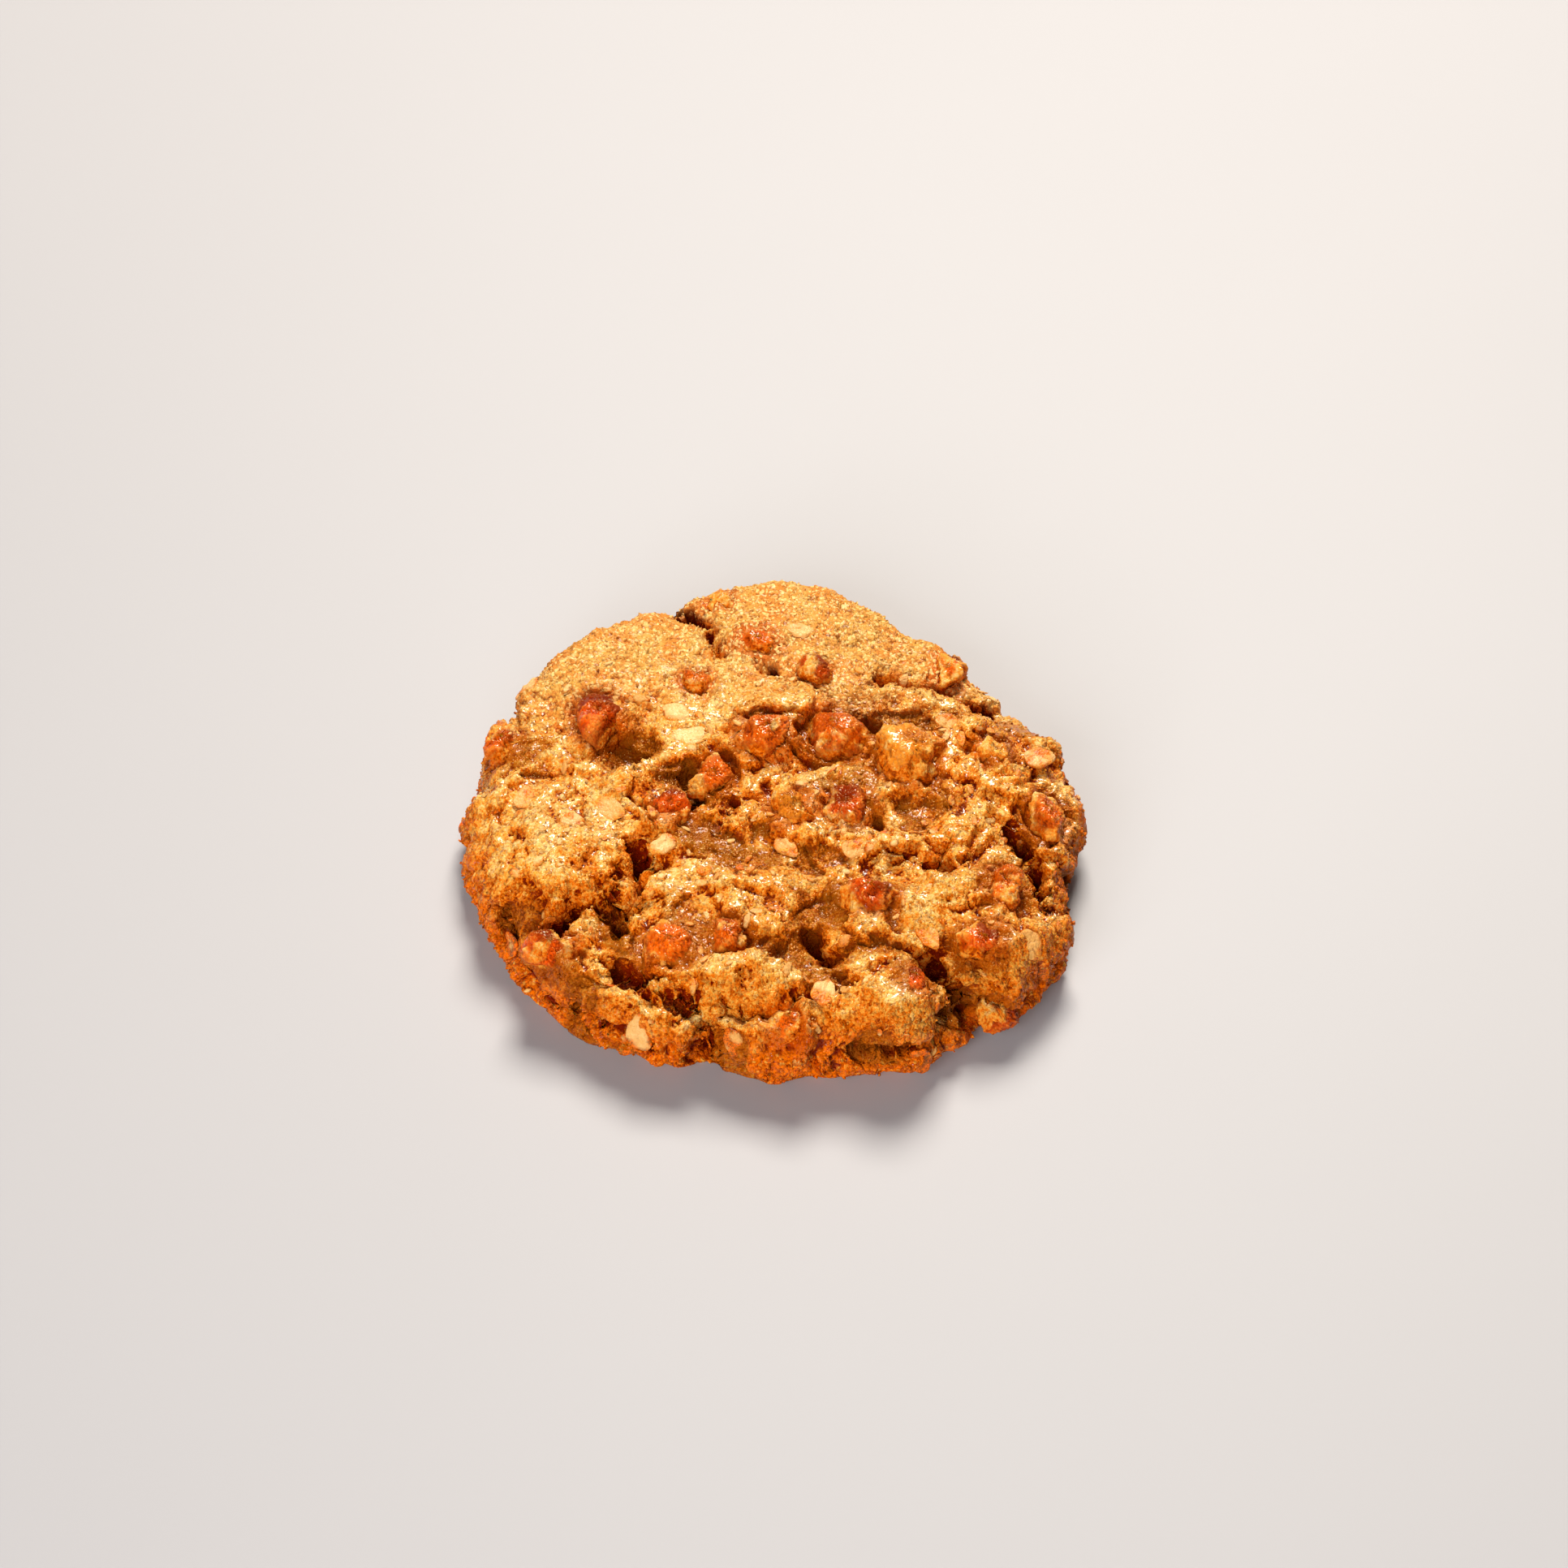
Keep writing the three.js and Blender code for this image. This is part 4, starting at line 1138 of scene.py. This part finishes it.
class COOKIE_OT_dough(Operator):
    """Make the dough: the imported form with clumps, crumbs, pores and syrup on it"""

    bl_idname = "cookie.dough"
    bl_label = "Dough"

    def execute(self, context):
        look = context.scene.cookie_dough
        form = CookieForm(look)
        apples = [AppleForm(node, context.scene.cookie_apple.bed_softness) for node in APPLE_NODES]
        centres, _, sizes, shown = placed_flakes(form, context.scene.cookie_oat.stand / MM)
        t, angle, triangles = ring_grid(look.rings)
        plain = form.plain(t, angle)
        wall = browned_share(plain)
        cut = dough_cut(form, plain)
        slabs = form.mound_rise(plain, SLABS)
        points = plain + form.stand(t, angle) * (form.lumps(plain) + slabs - cut)[:, None]
        normals = vertex_normals(points, triangles)
        normals[:, 2] = np.maximum(normals[:, 2], 0)
        crust = form.crust_share(plain) * step_between(cut, *WHOLE_CRUST)
        plateau = step_between(form.mound_rise(plain) + slabs, *PLATEAU_RISES) * (1 - wall)
        gap = apple_gap(points, apples)
        pool = pool_share(plain, plateau)
        moist = np.maximum(pool, 0.7 * step_between(gap, *MOIST_GAPS))
        fine, syrup, tone = fine_relief(points, crust, pool, moist, plateau, look)
        calm = flake_calm(points, centres, sizes, shown)
        fine = fine * (1 - 0.75 * calm) + apple_lip(points, gap)
        foot = step_between(t, *FOOT_PLACES)
        points = points + normals * (fine * (0.25 + 0.75 * foot))[:, None]
        torn = foot * (1 - 0.7 * crust) * (1 - 0.5 * plateau) * (1 - 0.4 * wall)
        points = points + (warped(points, *TEAR) - points) * torn[:, None]
        points[:, 2] = np.maximum(points[:, 2], 0)
        points, triangles = close_base(points, triangles, t == 1)
        attributes = dough_attributes(points, triangles)
        juice = 0.6 * step_between(gap, *JUICE_GAPS)
        shares = (("tone", tone, 0.5), ("crust", crust, 0.0), ("syrup", syrup, 0.0), ("wall", wall, 1.0),
                  ("juice", juice, 0.0))
        for label, values, at_base in shares:
            attributes[label] = np.append(values, np.full(len(points) - len(t), at_base))
        add_piece(DOUGH_PIECE, points, triangles, dough_material(look),
                  [DOUGH_NODE], attributes)
        return {"FINISHED"}


def dough_cut(form, plain):
    """Depth of the frayed cracks and seams. The cracks are shallower on the far side."""
    loose = frayed(plain, CRACK_WARPS)
    cuts = [share * form.crack_cut(loose, *shape) for share, *shape in CRACK_CUTS]
    cracks = sum(cuts) * (0.8 + 0.4 * step_between(plain[:, 1], *NEAR_CRACKS))
    seams = form.crack_cut(loose, 1, 2, TOP_SEAMS, WALL_SEAMS)
    return np.maximum(cracks, seams)


def pool_share(points, plateau):
    """0..1 where syrup may lie: in the named pools, with an uneven edge, and in chance places.

    The chance places are fewer on the plateaus of the mounds."""
    moved = warped(points, 5, 2.2) * (1, 1, 0)
    share = 0.8 * step_between(ripple(points, 8, 40), 0.05, 0.4) * (1 - 0.7 * plateau)
    for x, y, length, width, turn in SYRUP_POOLS:
        apart = oval_distance(moved, np.array([x, y, 0]), length, width, turn)
        share = np.maximum(share, step_between(apart, 1.35, 0.8))
    return share


def browned_share(points):
    """How browned the dough is: most low on the wall, fading over the shoulder, more on the near side."""
    height = points[:, 2] + 1.6 * ripple(points, 7, 3)
    low = step_between(height, *BROWNED_HEIGHTS)
    near = step_between(points[:, 1], *NEAR_BROWNING)
    return low * (0.55 + 0.4 * near)


def flake_calm(points, centres, sizes, shown):
    """1 under an oat flake that shows, 0 away from it: no grain of the dough stands through it there."""
    calm = np.zeros(len(points))
    for centre, (length, width, _, _), share in zip(centres, sizes, shown):
        apart = np.linalg.norm(points - centre, axis=1)
        calm = np.maximum(calm, share * step_between(apart, 0.6 * length, 0.3 * width))
    return calm


def apple_lip(points, gap):
    """Dough round an apple piece: sunk under it, a groove at its edge and a broken lip beside it."""
    broken = 0.5 + 0.5 * ripple(points, 5.2, 5) + 0.25 * ripple(points, 1.9, 9)
    lip = 1.5 * step_between(broken, 0.3, 1.0) * np.exp(-((gap / 2.6) ** 2))
    groove = 0.5 * np.exp(-((gap / 0.6) ** 2)) * step_between(broken, 0.7, 0.3)
    sunk = 1.2 * step_between(gap, -1.2, -2.8)
    return lip - groove - sunk


def broken_blocks(points):
    """Height of blocks of dough, and how close each point is to the foot of a break.

    Every break follows the zero line of a noise. The dough is half a rise up on one side of it, half down
    on the other, with a short ramp between and a groove below the ramp."""
    height = np.zeros(len(points))
    foot = np.zeros(len(points))
    for size, rise, shift in BREAKS:
        field = ripple(points, size, shift) + 0.45 * ripple(points, 0.42 * size, shift)
        height += rise * (step_between(field, -0.05, 0.09) - 0.5)
        foot = np.maximum(foot, rise * np.exp(-(((field + 0.1) / 0.07) ** 2)))
    return height, foot


def fine_relief(points, crust, pool, moist, plateau, look):
    """Relief of broken dough, with the syrup and the tone that follow from it.

    Soft crumb, sandy grain and open pores lie on the broken blocks, and the wall has holes besides. The
    plateaus of the mounds are calmer, and the crust more so, with mottling and hairline cracks. Syrup fills
    the low places where the dough is moist. Tone is 0..1: random, and lighter on the higher blocks and the
    plateaus."""
    rough = (1 - 0.78 * crust) * (1 - 0.3 * plateau)
    wall = browned_share(points)
    patches = np.maximum(step_between(ripple(points, 5, 21), -0.2, 0.5), 0.8 * wall)
    loose = frayed(points, CRUMB_WARPS)
    height, foot = broken_blocks(loose)
    height = height * (1 - 0.45 * pool) - 0.5 * pool * (1 - crust)
    low = height + 0.5 * ripple(points, 2.1, 71)
    syrup = moist * (1 - crust) * step_between(low - 0.55 * moist, 0.0, -0.7)
    relief = look.clump / MM * rough * (height - 0.8 * foot * patches)
    crumb = ripple(loose, 2.4, 15) + 0.6 * ripple(loose, 1.3, 4)
    ragged = 0.14 + 0.5 * patches * step_between(foot, 0.0, 0.3) + 0.5 * wall
    relief += look.crumb / MM * rough * ragged * crumb
    relief += syrup * (0.3 * ripple(points, 1.8, 52) - 0.4 * pool)
    sandy = ripple(points, 0.95, 17) + 0.7 * ripple(points, 0.55, 29)
    sandy_share = 1 - 0.6 * syrup + 0.1 * wall - 0.35 * plateau
    grit = np.random.default_rng(GRIT_SEED).normal(size=len(points))
    grit_share = 0.62 + 0.4 * crust + 0.2 * plateau + 0.2 * wall
    relief += look.grain / MM * (sandy_share * sandy + grit_share * grit)
    pores = openings(loose + 50, *PORES) * (0.15 + 0.75 * patches) * rough * (1 - syrup)
    holes = 0.8 * openings(loose + 80, *WALL_HOLES) * wall
    relief -= look.pore / MM * (pores + holes)
    hairline = step_between(np.abs(ripple(warped(points, 4, 1.2), 7, 61)), 0.05, 0.0)
    broken = step_between(ripple(points, 6, 33), 0.0, 0.3)
    mottled = ripple(points, 3.3, 83) + 0.6 * ripple(points, 1.6, 39)
    relief += (0.42 * mottled - 0.7 * hairline * broken) * crust
    tone = 0.5 + 0.5 * ripple(points, 9, 90) + 0.5 * ripple(loose, 3.4, 66) + 0.15 * height + 0.1 * plateau
    return relief, syrup, np.clip(tone, 0, 1)


def close_base(points, triangles, on_edge):
    """Closes the base with rows that shrink towards the middle, with shallow baked dimples."""
    edge = np.flatnonzero(on_edge)
    shares = 1 - np.arange(1, BASE_ROWS) / BASE_ROWS
    flat = points[edge] * (1, 1, 0)
    inner = (shares[:, None, None] * flat[None]).reshape(-1, 3)
    dimple = cobbles(warped(inner, 3, 0.8), 3.4)
    inner[:, 2] = DIMPLE_DEPTH * step_between(dimple, 0.45, 0.1)
    middle = len(points) + len(inner)
    index = np.concatenate([edge[None], len(points) + np.arange(len(inner)).reshape(BASE_ROWS - 1, -1)])
    beside = np.roll(index, -1, axis=1)
    first = np.stack([index[:-1], beside[1:], beside[:-1]], axis=-1).reshape(-1, 3)
    other = np.stack([index[:-1], index[1:], beside[1:]], axis=-1).reshape(-1, 3)
    last = np.stack([np.full(len(edge), middle), beside[-1], index[-1]], axis=1)
    all_points = np.concatenate([points, inner, [(0, 0, BASE_MIDDLE)]])
    return all_points, np.concatenate([triangles, first, other, last])


def height_over(points, triangles, rounds, directions):
    """How far points stand along directions above the surface that rounds of smoothing leave."""
    return np.sum((points - smoothed(points, triangles, rounds)) * directions, axis=1)


def light_facing(points, triangles, rounds):
    """Cosine between the side the key light comes from and the normals of a surface after rounds of
    smoothing.
    """
    return vertex_normals(smoothed(points, triangles, rounds), triangles) @ LIT_SIDE


def dough_attributes(points, triangles):
    """Shares of hollow and ridge by the height over the smoothed dough, and of dry by where it faces;
    hollow carries painted shade, dry painted light on faces towards the key light.
    """
    normals = vertex_normals(points, triangles)
    near = height_over(points, triangles, 8, normals)
    wide = height_over(points, triangles, 60, normals)
    return {
        "hollow": step_between(near + 0.6 * wide, -0.12, -0.75),
        "ridge": step_between(near, 0.05, 0.3),
        "dry": step_between(light_facing(points, triangles, 3), 0.45, 0.92),
    }


class COOKIE_OT_apples(Operator):
    """Make the apple pieces: rounded, wrinkled and partly peeled dice at their packed places"""

    bl_idname = "cookie.apples"
    bl_label = "Apple pieces"

    def execute(self, context):
        look = context.scene.cookie_apple
        cookie = CookieForm(context.scene.cookie_dough)
        directions, triangles = ball_grid(look.rows, 2 * look.rows)
        for number, node in enumerate(APPLE_NODES):
            tone = NODE_SLOTS[node].removeprefix("apple_")
            peel_share, left, softness = APPLE_TONES[tone]
            form = AppleForm(node, softness)
            points, attributes = apple_surface(form, directions, triangles, number, look.wrinkle / MM,
                                               peel_share, left)
            attributes["edge"] = apple_edge(cookie, form, directions)
            covered = attributes["smear"] + 0.5 * attributes["edge"] + APPLE_COVERS.get(node, PLAIN_COVER)
            attributes["smear"] = step_between(covered, 0.55, 0.9)
            points = points + directions * crumbly_cover(points, attributes["smear"])[:, None]
            proud = np.maximum(points[:, 2] - CAD_BOX[1][2] / MM, 0)
            points[:, 2] = np.maximum(points[:, 2] - PRESSED_SHARE * proud, FLOOR_GAP)
            flesh = getattr(look, tone)
            material = apple_material(f"Fruit {tone}", flesh, look.peel, context.scene.cookie_dough)
            add_piece(f"piece_{node}", points, triangles, material, [node], attributes)
        return {"FINISHED"}


def crumbly_cover(points, smear):
    """Height of the dough that is smeared on a piece: crumbs of two sizes, only where it is smeared."""
    crumbs = 0.5 * ripple(points, 2.2, 12) + 0.35 * ripple(points, 1, 44)
    return smear * (0.05 + 1.3 * crumbs)


def apple_edge(cookie, form, directions):
    """0 on the part of a piece that stands out of the dough, 1 towards the part that is sunk in it."""
    x, y, z = form.centre
    on_top = np.hypot(x, y) / cookie.outline(np.arctan2(y, x)) < cookie.shoulder_radius
    spot = cookie.top_spot(x, y) if on_top else cookie.wall_spot(np.degrees(np.arctan2(y, x)), z)
    outward = cookie.stand(*(np.array([value]) for value in spot))[0]
    return step_between(directions @ outward, 0.75, 0.15)


def apple_surface(form, directions, triangles, number, wrinkle, peel_share, left):
    """The diced solid with dents and wrinkles along its radius, and peel on its far upper side."""
    base = form.centre + directions * form.diced(directions, number, left)[:, None]
    dents = 1.8 * ripple(base, 4.4, 3 * number)
    creases = np.abs(ripple(warped(base, 1.8, 0.8), 2.6, number))
    folds = 0.4 - 1.6 * creases + 0.3 * ripple(base, 0.8)
    folds += 0.22 * np.random.default_rng(number).normal(size=len(base))
    points = base + directions * (wrinkle * (folds + dents))[:, None]
    points[:, 2] = np.maximum(points[:, 2], FLOOR_GAP)
    lean = 1.2 * corner_value(float(number), 4.0, 2.0) - 0.6
    side = np.array([lean, 0.75, 0.5])
    facing = directions @ (side / np.linalg.norm(side)) + 0.7 * ripple(base, 3.4, number)
    height = height_over(points, triangles, 12, directions)
    cover = ripple(base, 3.1, 8 * number) + 0.7 * ripple(base, 1.2, 27)
    return points, {
        # up is high on faces towards the key light: painted light on the smear, and where the coat may
        # glint
        "up": step_between(light_facing(points, triangles, 2), 0.15, 0.65),
        "peel": peel_share * step_between(facing, 0.3, 0.9),
        "hollow": step_between(height, 0.0, -0.25),
        "ridge": step_between(height, 0.08, 0.4),
        "smear": np.clip(0.5 + 0.5 * cover, 0, 1) ** 2,
    }


class COOKIE_OT_oats(Operator):
    """Make the oat flakes at their packed places, and the broken bits of oat around them"""

    bl_idname = "cookie.oats"
    bl_label = "Oat flakes"

    def execute(self, context):
        look = context.scene.cookie_oat
        form = CookieForm(context.scene.cookie_dough)
        centres, stands, sizes, shown = placed_flakes(form, look.stand / MM)
        centres = centres - (1 - shown)[:, None] * stands
        sizes[:, 3] *= 0.3 + 0.7 * shown
        bare = shown * step_between(sizes[:, 0], 6.0, 7.0)
        whole = flake_points(centres, stands, sizes, bare, look.thickness / MM, *ball_grid(*FLAKE_GRID))
        bits = flake_points(*scattered_bits(look), np.zeros(look.bits), BIT_THICKNESS,
                            *ball_grid(*BIT_GRID))
        (points, triangles, attributes), (bit_points, bit_triangles, bit_attributes) = whole, bits
        both = {label: np.concatenate([attributes[label], bit_attributes[label]]) for label in attributes}
        material = oat_material(look, context.scene.cookie_dough)
        add_piece("cookie_oats", np.concatenate([points, bit_points]),
                  np.concatenate([triangles, bit_triangles + len(points)]),
                  material, [DOUGH_NODE], both)
        return {"FINISHED"}


def flake_points(centres, stands, sizes, bare, thickness, directions, triangles):
    """Oat flakes: flat egg-shaped leaves with a ragged edge, a crease along the middle and a slight curl.

    Returns the joined points and triangles, and how toasted, how smeared with dough and how much on the
    wall each point is. A bare share of 1 keeps most of the dough off a flake."""
    copies, corners = len(centres), len(directions)
    number = np.arange(copies, dtype=float)[:, None]
    x, y, z = directions.T
    around = np.stack(np.broadcast_arrays(0.8 * x + 9 * number, 0.8 * y + 5 * number, number), axis=-1)
    ragged = 1 + 0.26 * smooth_noise(around) + 0.16 * smooth_noise(2.6 * around)
    fray = smooth_noise(4 * around)
    spread = np.hypot(x, y)
    crease = 0.3 * corner_value(number, 5, 3) * np.exp(-((y / 0.14) ** 2)) * (1 - spread ** 4)
    curl = (corner_value(number, 2, 6) - 0.35) * spread ** 2 * np.abs(x)
    length, width, turn, lift = (column[:, None] for column in sizes.T)
    side = np.sign(z)
    flat = np.stack([
        0.5 * length * x * ragged,
        0.5 * width * y * ragged * (1 - 0.22 * x),
        0.5 * thickness * (0.6 * side * np.abs(z) ** 0.5 * (1 + 0.5 * fray) - crease * side + 1.6 * curl),
    ], axis=-1)
    placed = turned(flat, stands, np.radians(turn[:, 0]), np.radians(lift[:, 0])) + centres[:, None]
    points, faces = joined(placed, triangles)
    points[:, 2] = np.maximum(points[:, 2], FLOOR_GAP)
    wall = np.repeat(step_between(stands[:, 2], 0.8, 0.3), corners)
    toast = (0.9 * corner_value(number, 8, 1) + 0.3 * spread ** 3).ravel() + 0.5 * wall
    cover = ripple(points, 2.1, 58) + 0.5 * ripple(points, 0.8, 14) + np.tile(0.5 * spread ** 4, copies)
    cover += 0.3 * wall - 0.8 * np.repeat(bare, corners) - 0.5 * step_between(points[:, 1], 10, 30)
    smear = step_between(cover, -0.05, 0.35)
    return points, faces, {"toast": np.clip(toast, 0, 1), "smear": smear, "wall": wall}


def read_dough():
    """Points, normals and attributes of the finished dough, in millimetres."""
    mesh = bpy.data.objects[DOUGH_PIECE].data
    normals = np.zeros(3 * len(mesh.vertices), np.float32)
    mesh.vertex_normals.foreach_get("vector", normals)
    attributes = {}
    for label in DOUGH_LABELS:
        attributes[label] = np.zeros(len(mesh.vertices), np.float32)
        mesh.attributes[label].data.foreach_get("value", attributes[label])
    return read_points(mesh), normals.reshape(-1, 3), attributes


def scattered_bits(look):
    """Places and sizes of broken oat bits, drawn over the dough above its foot.

    They are fewer on syrup, on the crust and on the far rim."""
    draw = np.random.default_rng(BIT_SEED)
    points, normals, attributes = read_dough()
    weight = (points[:, 2] > 2.5) * (1 - 0.8 * attributes["syrup"]) * (1 - 0.7 * attributes["crust"])
    weight = weight * (1 - 0.9 * step_between(points[:, 1], 38, 44))
    chosen = draw.choice(len(points), look.bits, replace=False, p=weight / weight.sum())
    length = look.bit_length / MM * draw.uniform(0.6, 1.4, look.bits)
    width = length * draw.uniform(0.45, 0.75, look.bits)
    turn = draw.uniform(0, 360, look.bits)
    lift = draw.uniform(-16, 16, look.bits)
    centres = points[chosen] + 0.05 * normals[chosen]
    return centres, normals[chosen], np.stack([length, width, turn, lift], axis=1)


class COOKIE_OT_crumbs(Operator):
    """Make the crumbs that cling to the dough, as one mesh of small uneven lumps"""

    bl_idname = "cookie.crumbs"
    bl_label = "Crumbs"

    def execute(self, context):
        look = context.scene.cookie_crumb
        draw = np.random.default_rng(CRUMB_SEED)
        points, normals, attributes = read_dough()
        rough = (1 - 0.85 * attributes["crust"]) * (1 - 0.85 * attributes["syrup"])
        weight = rough * (points[:, 2] > 1.2) * (0.35 + attributes["ridge"])
        chosen = draw.choice(len(points), look.count, replace=False, p=weight / weight.sum())
        directions, triangles = ball_grid(*CRUMB_GRID)
        size = look.smallest + (look.largest - look.smallest) * draw.random(look.count) ** 2.4
        size = size[:, None, None] / MM
        stretch = draw.uniform(0.7, 1.25, (look.count, 1, 3))
        uneven = draw.uniform(0.7, 1.2, (look.count, len(directions), 1))
        turns = draw.uniform(0, 2 * math.pi, look.count)
        tilts = draw.uniform(0, 3, look.count)
        lumps = turned(0.5 * size * stretch * uneven * directions, normals[chosen], turns, tilts)
        placed = lumps + (points[chosen] + 0.12 * size[:, :, 0] * normals[chosen])[:, None]
        placed[..., 2] = np.maximum(placed[..., 2], FLOOR_GAP)
        joined_points, joined_triangles = joined(placed, triangles)
        # The crumbs take the dough's values where they sit, its painted light and shade among them
        spread = {label: np.repeat(values[chosen], len(directions)) for label, values in attributes.items()}
        material = dough_material(context.scene.cookie_dough)
        add_piece("cookie_crumbs", joined_points, joined_triangles, material, [],
                  spread)
        return {"FINISHED"}


class COOKIE_OT_stage(Operator):
    """Make the floor, the lights and the camera"""

    bl_idname = "cookie.stage"
    bl_label = "Stage"

    def execute(self, context):
        look = context.scene.cookie_stage
        floor_mesh = bpy.data.meshes.new("stage_floor")
        half = look.floor_size / 2
        corners = [(-half, -half, 0), (half, -half, 0), (half, half, 0), (-half, half, 0)]
        floor_mesh.from_pydata(corners, [], [(0, 1, 2, 3)])
        floor_mesh.materials.append(floor_material(look.floor))
        floor = bpy.data.objects.new("stage_floor", floor_mesh)
        context.scene.collection.objects.link(floor)
        target = Vector((0, 0, look.aim_height))
        key = add_area_light("stage_key", target, KEY_PLACE, look.key_size, look.key_power)
        key.data.color = look.key_tint
        fill = add_area_light("stage_fill", target, FILL_PLACE, look.fill_size, look.fill_power)
        fill.visible_glossy = False
        add_area_light("stage_glint", target, GLINT_PLACE, look.glint_size, look.glint_power)
        world = bpy.data.worlds.new("Soft surroundings")
        world.use_nodes = True
        background = world.node_tree.nodes["Background"]
        background.inputs["Color"].default_value = SURROUNDINGS
        background.inputs["Strength"].default_value = look.world
        context.scene.world = world
        back = Vector((0, -math.cos(look.elevation), math.sin(look.elevation)))
        right = Vector((1, 0, 0))
        up = back.cross(right)
        camera = bpy.data.objects.new("stage_camera", bpy.data.cameras.new("stage_camera"))
        camera.data.lens = look.lens
        camera.data.sensor_width = SENSOR_WIDTH
        camera.location = target + look.distance * back
        middle = target + look.frame_right * right + look.frame_up * up
        camera.rotation_euler = (middle - camera.location).to_track_quat("-Z", "Y").to_euler()
        context.scene.collection.objects.link(camera)
        context.scene.camera = camera
        context.scene.view_settings.view_transform = "Standard"
        return {"FINISHED"}


def add_area_light(name, target, place, size, power):
    """A square soft light that looks at the target from a place given by direction and distance."""
    direction, distance = place
    light = bpy.data.lights.new(name, "AREA")
    light.size = size
    light.energy = power
    lamp = bpy.data.objects.new(name, light)
    lamp.location = target + distance * Vector(direction).normalized()
    lamp.rotation_euler = (target - lamp.location).to_track_quat("-Z", "Y").to_euler()
    bpy.context.scene.collection.objects.link(lamp)
    return lamp


SETTINGS = {
    "cookie_dough": CookieDoughSettings,
    "cookie_apple": CookieAppleSettings,
    "cookie_oat": CookieOatSettings,
    "cookie_crumb": CookieCrumbSettings,
    "cookie_stage": CookieStageSettings,
}
OPERATORS = (COOKIE_OT_dough, COOKIE_OT_apples, COOKIE_OT_oats, COOKIE_OT_crumbs, COOKIE_OT_stage)


class COOKIE_PT_panel(Panel):
    """Lists the cookie's settings and the operators that make it"""

    bl_idname = "COOKIE_PT_panel"
    bl_label = "Apple Cookie"
    bl_space_type = "VIEW_3D"
    bl_region_type = "UI"
    bl_category = "Cookie"

    def draw(self, context):
        for (label, group), operator in zip(SETTINGS.items(), OPERATORS):
            box = self.layout.box()
            settings = getattr(context.scene, label)
            for name in group.__annotations__:
                box.prop(settings, name)
            box.operator(operator.bl_idname)


CLASSES = (*SETTINGS.values(), *OPERATORS, COOKIE_PT_panel)


def register():
    for item in CLASSES:
        bpy.utils.register_class(item)
    for label, group in SETTINGS.items():
        setattr(bpy.types.Scene, label, PointerProperty(type=group))


def unregister():
    for label in SETTINGS:
        delattr(bpy.types.Scene, label)
    for item in reversed(CLASSES):
        bpy.utils.unregister_class(item)


def main():
    register()
    bpy.ops.cookie.dough()
    bpy.ops.cookie.apples()
    bpy.ops.cookie.oats()
    bpy.ops.cookie.crumbs()
    bpy.ops.cookie.stage()


if __name__ == "__main__":
    main()
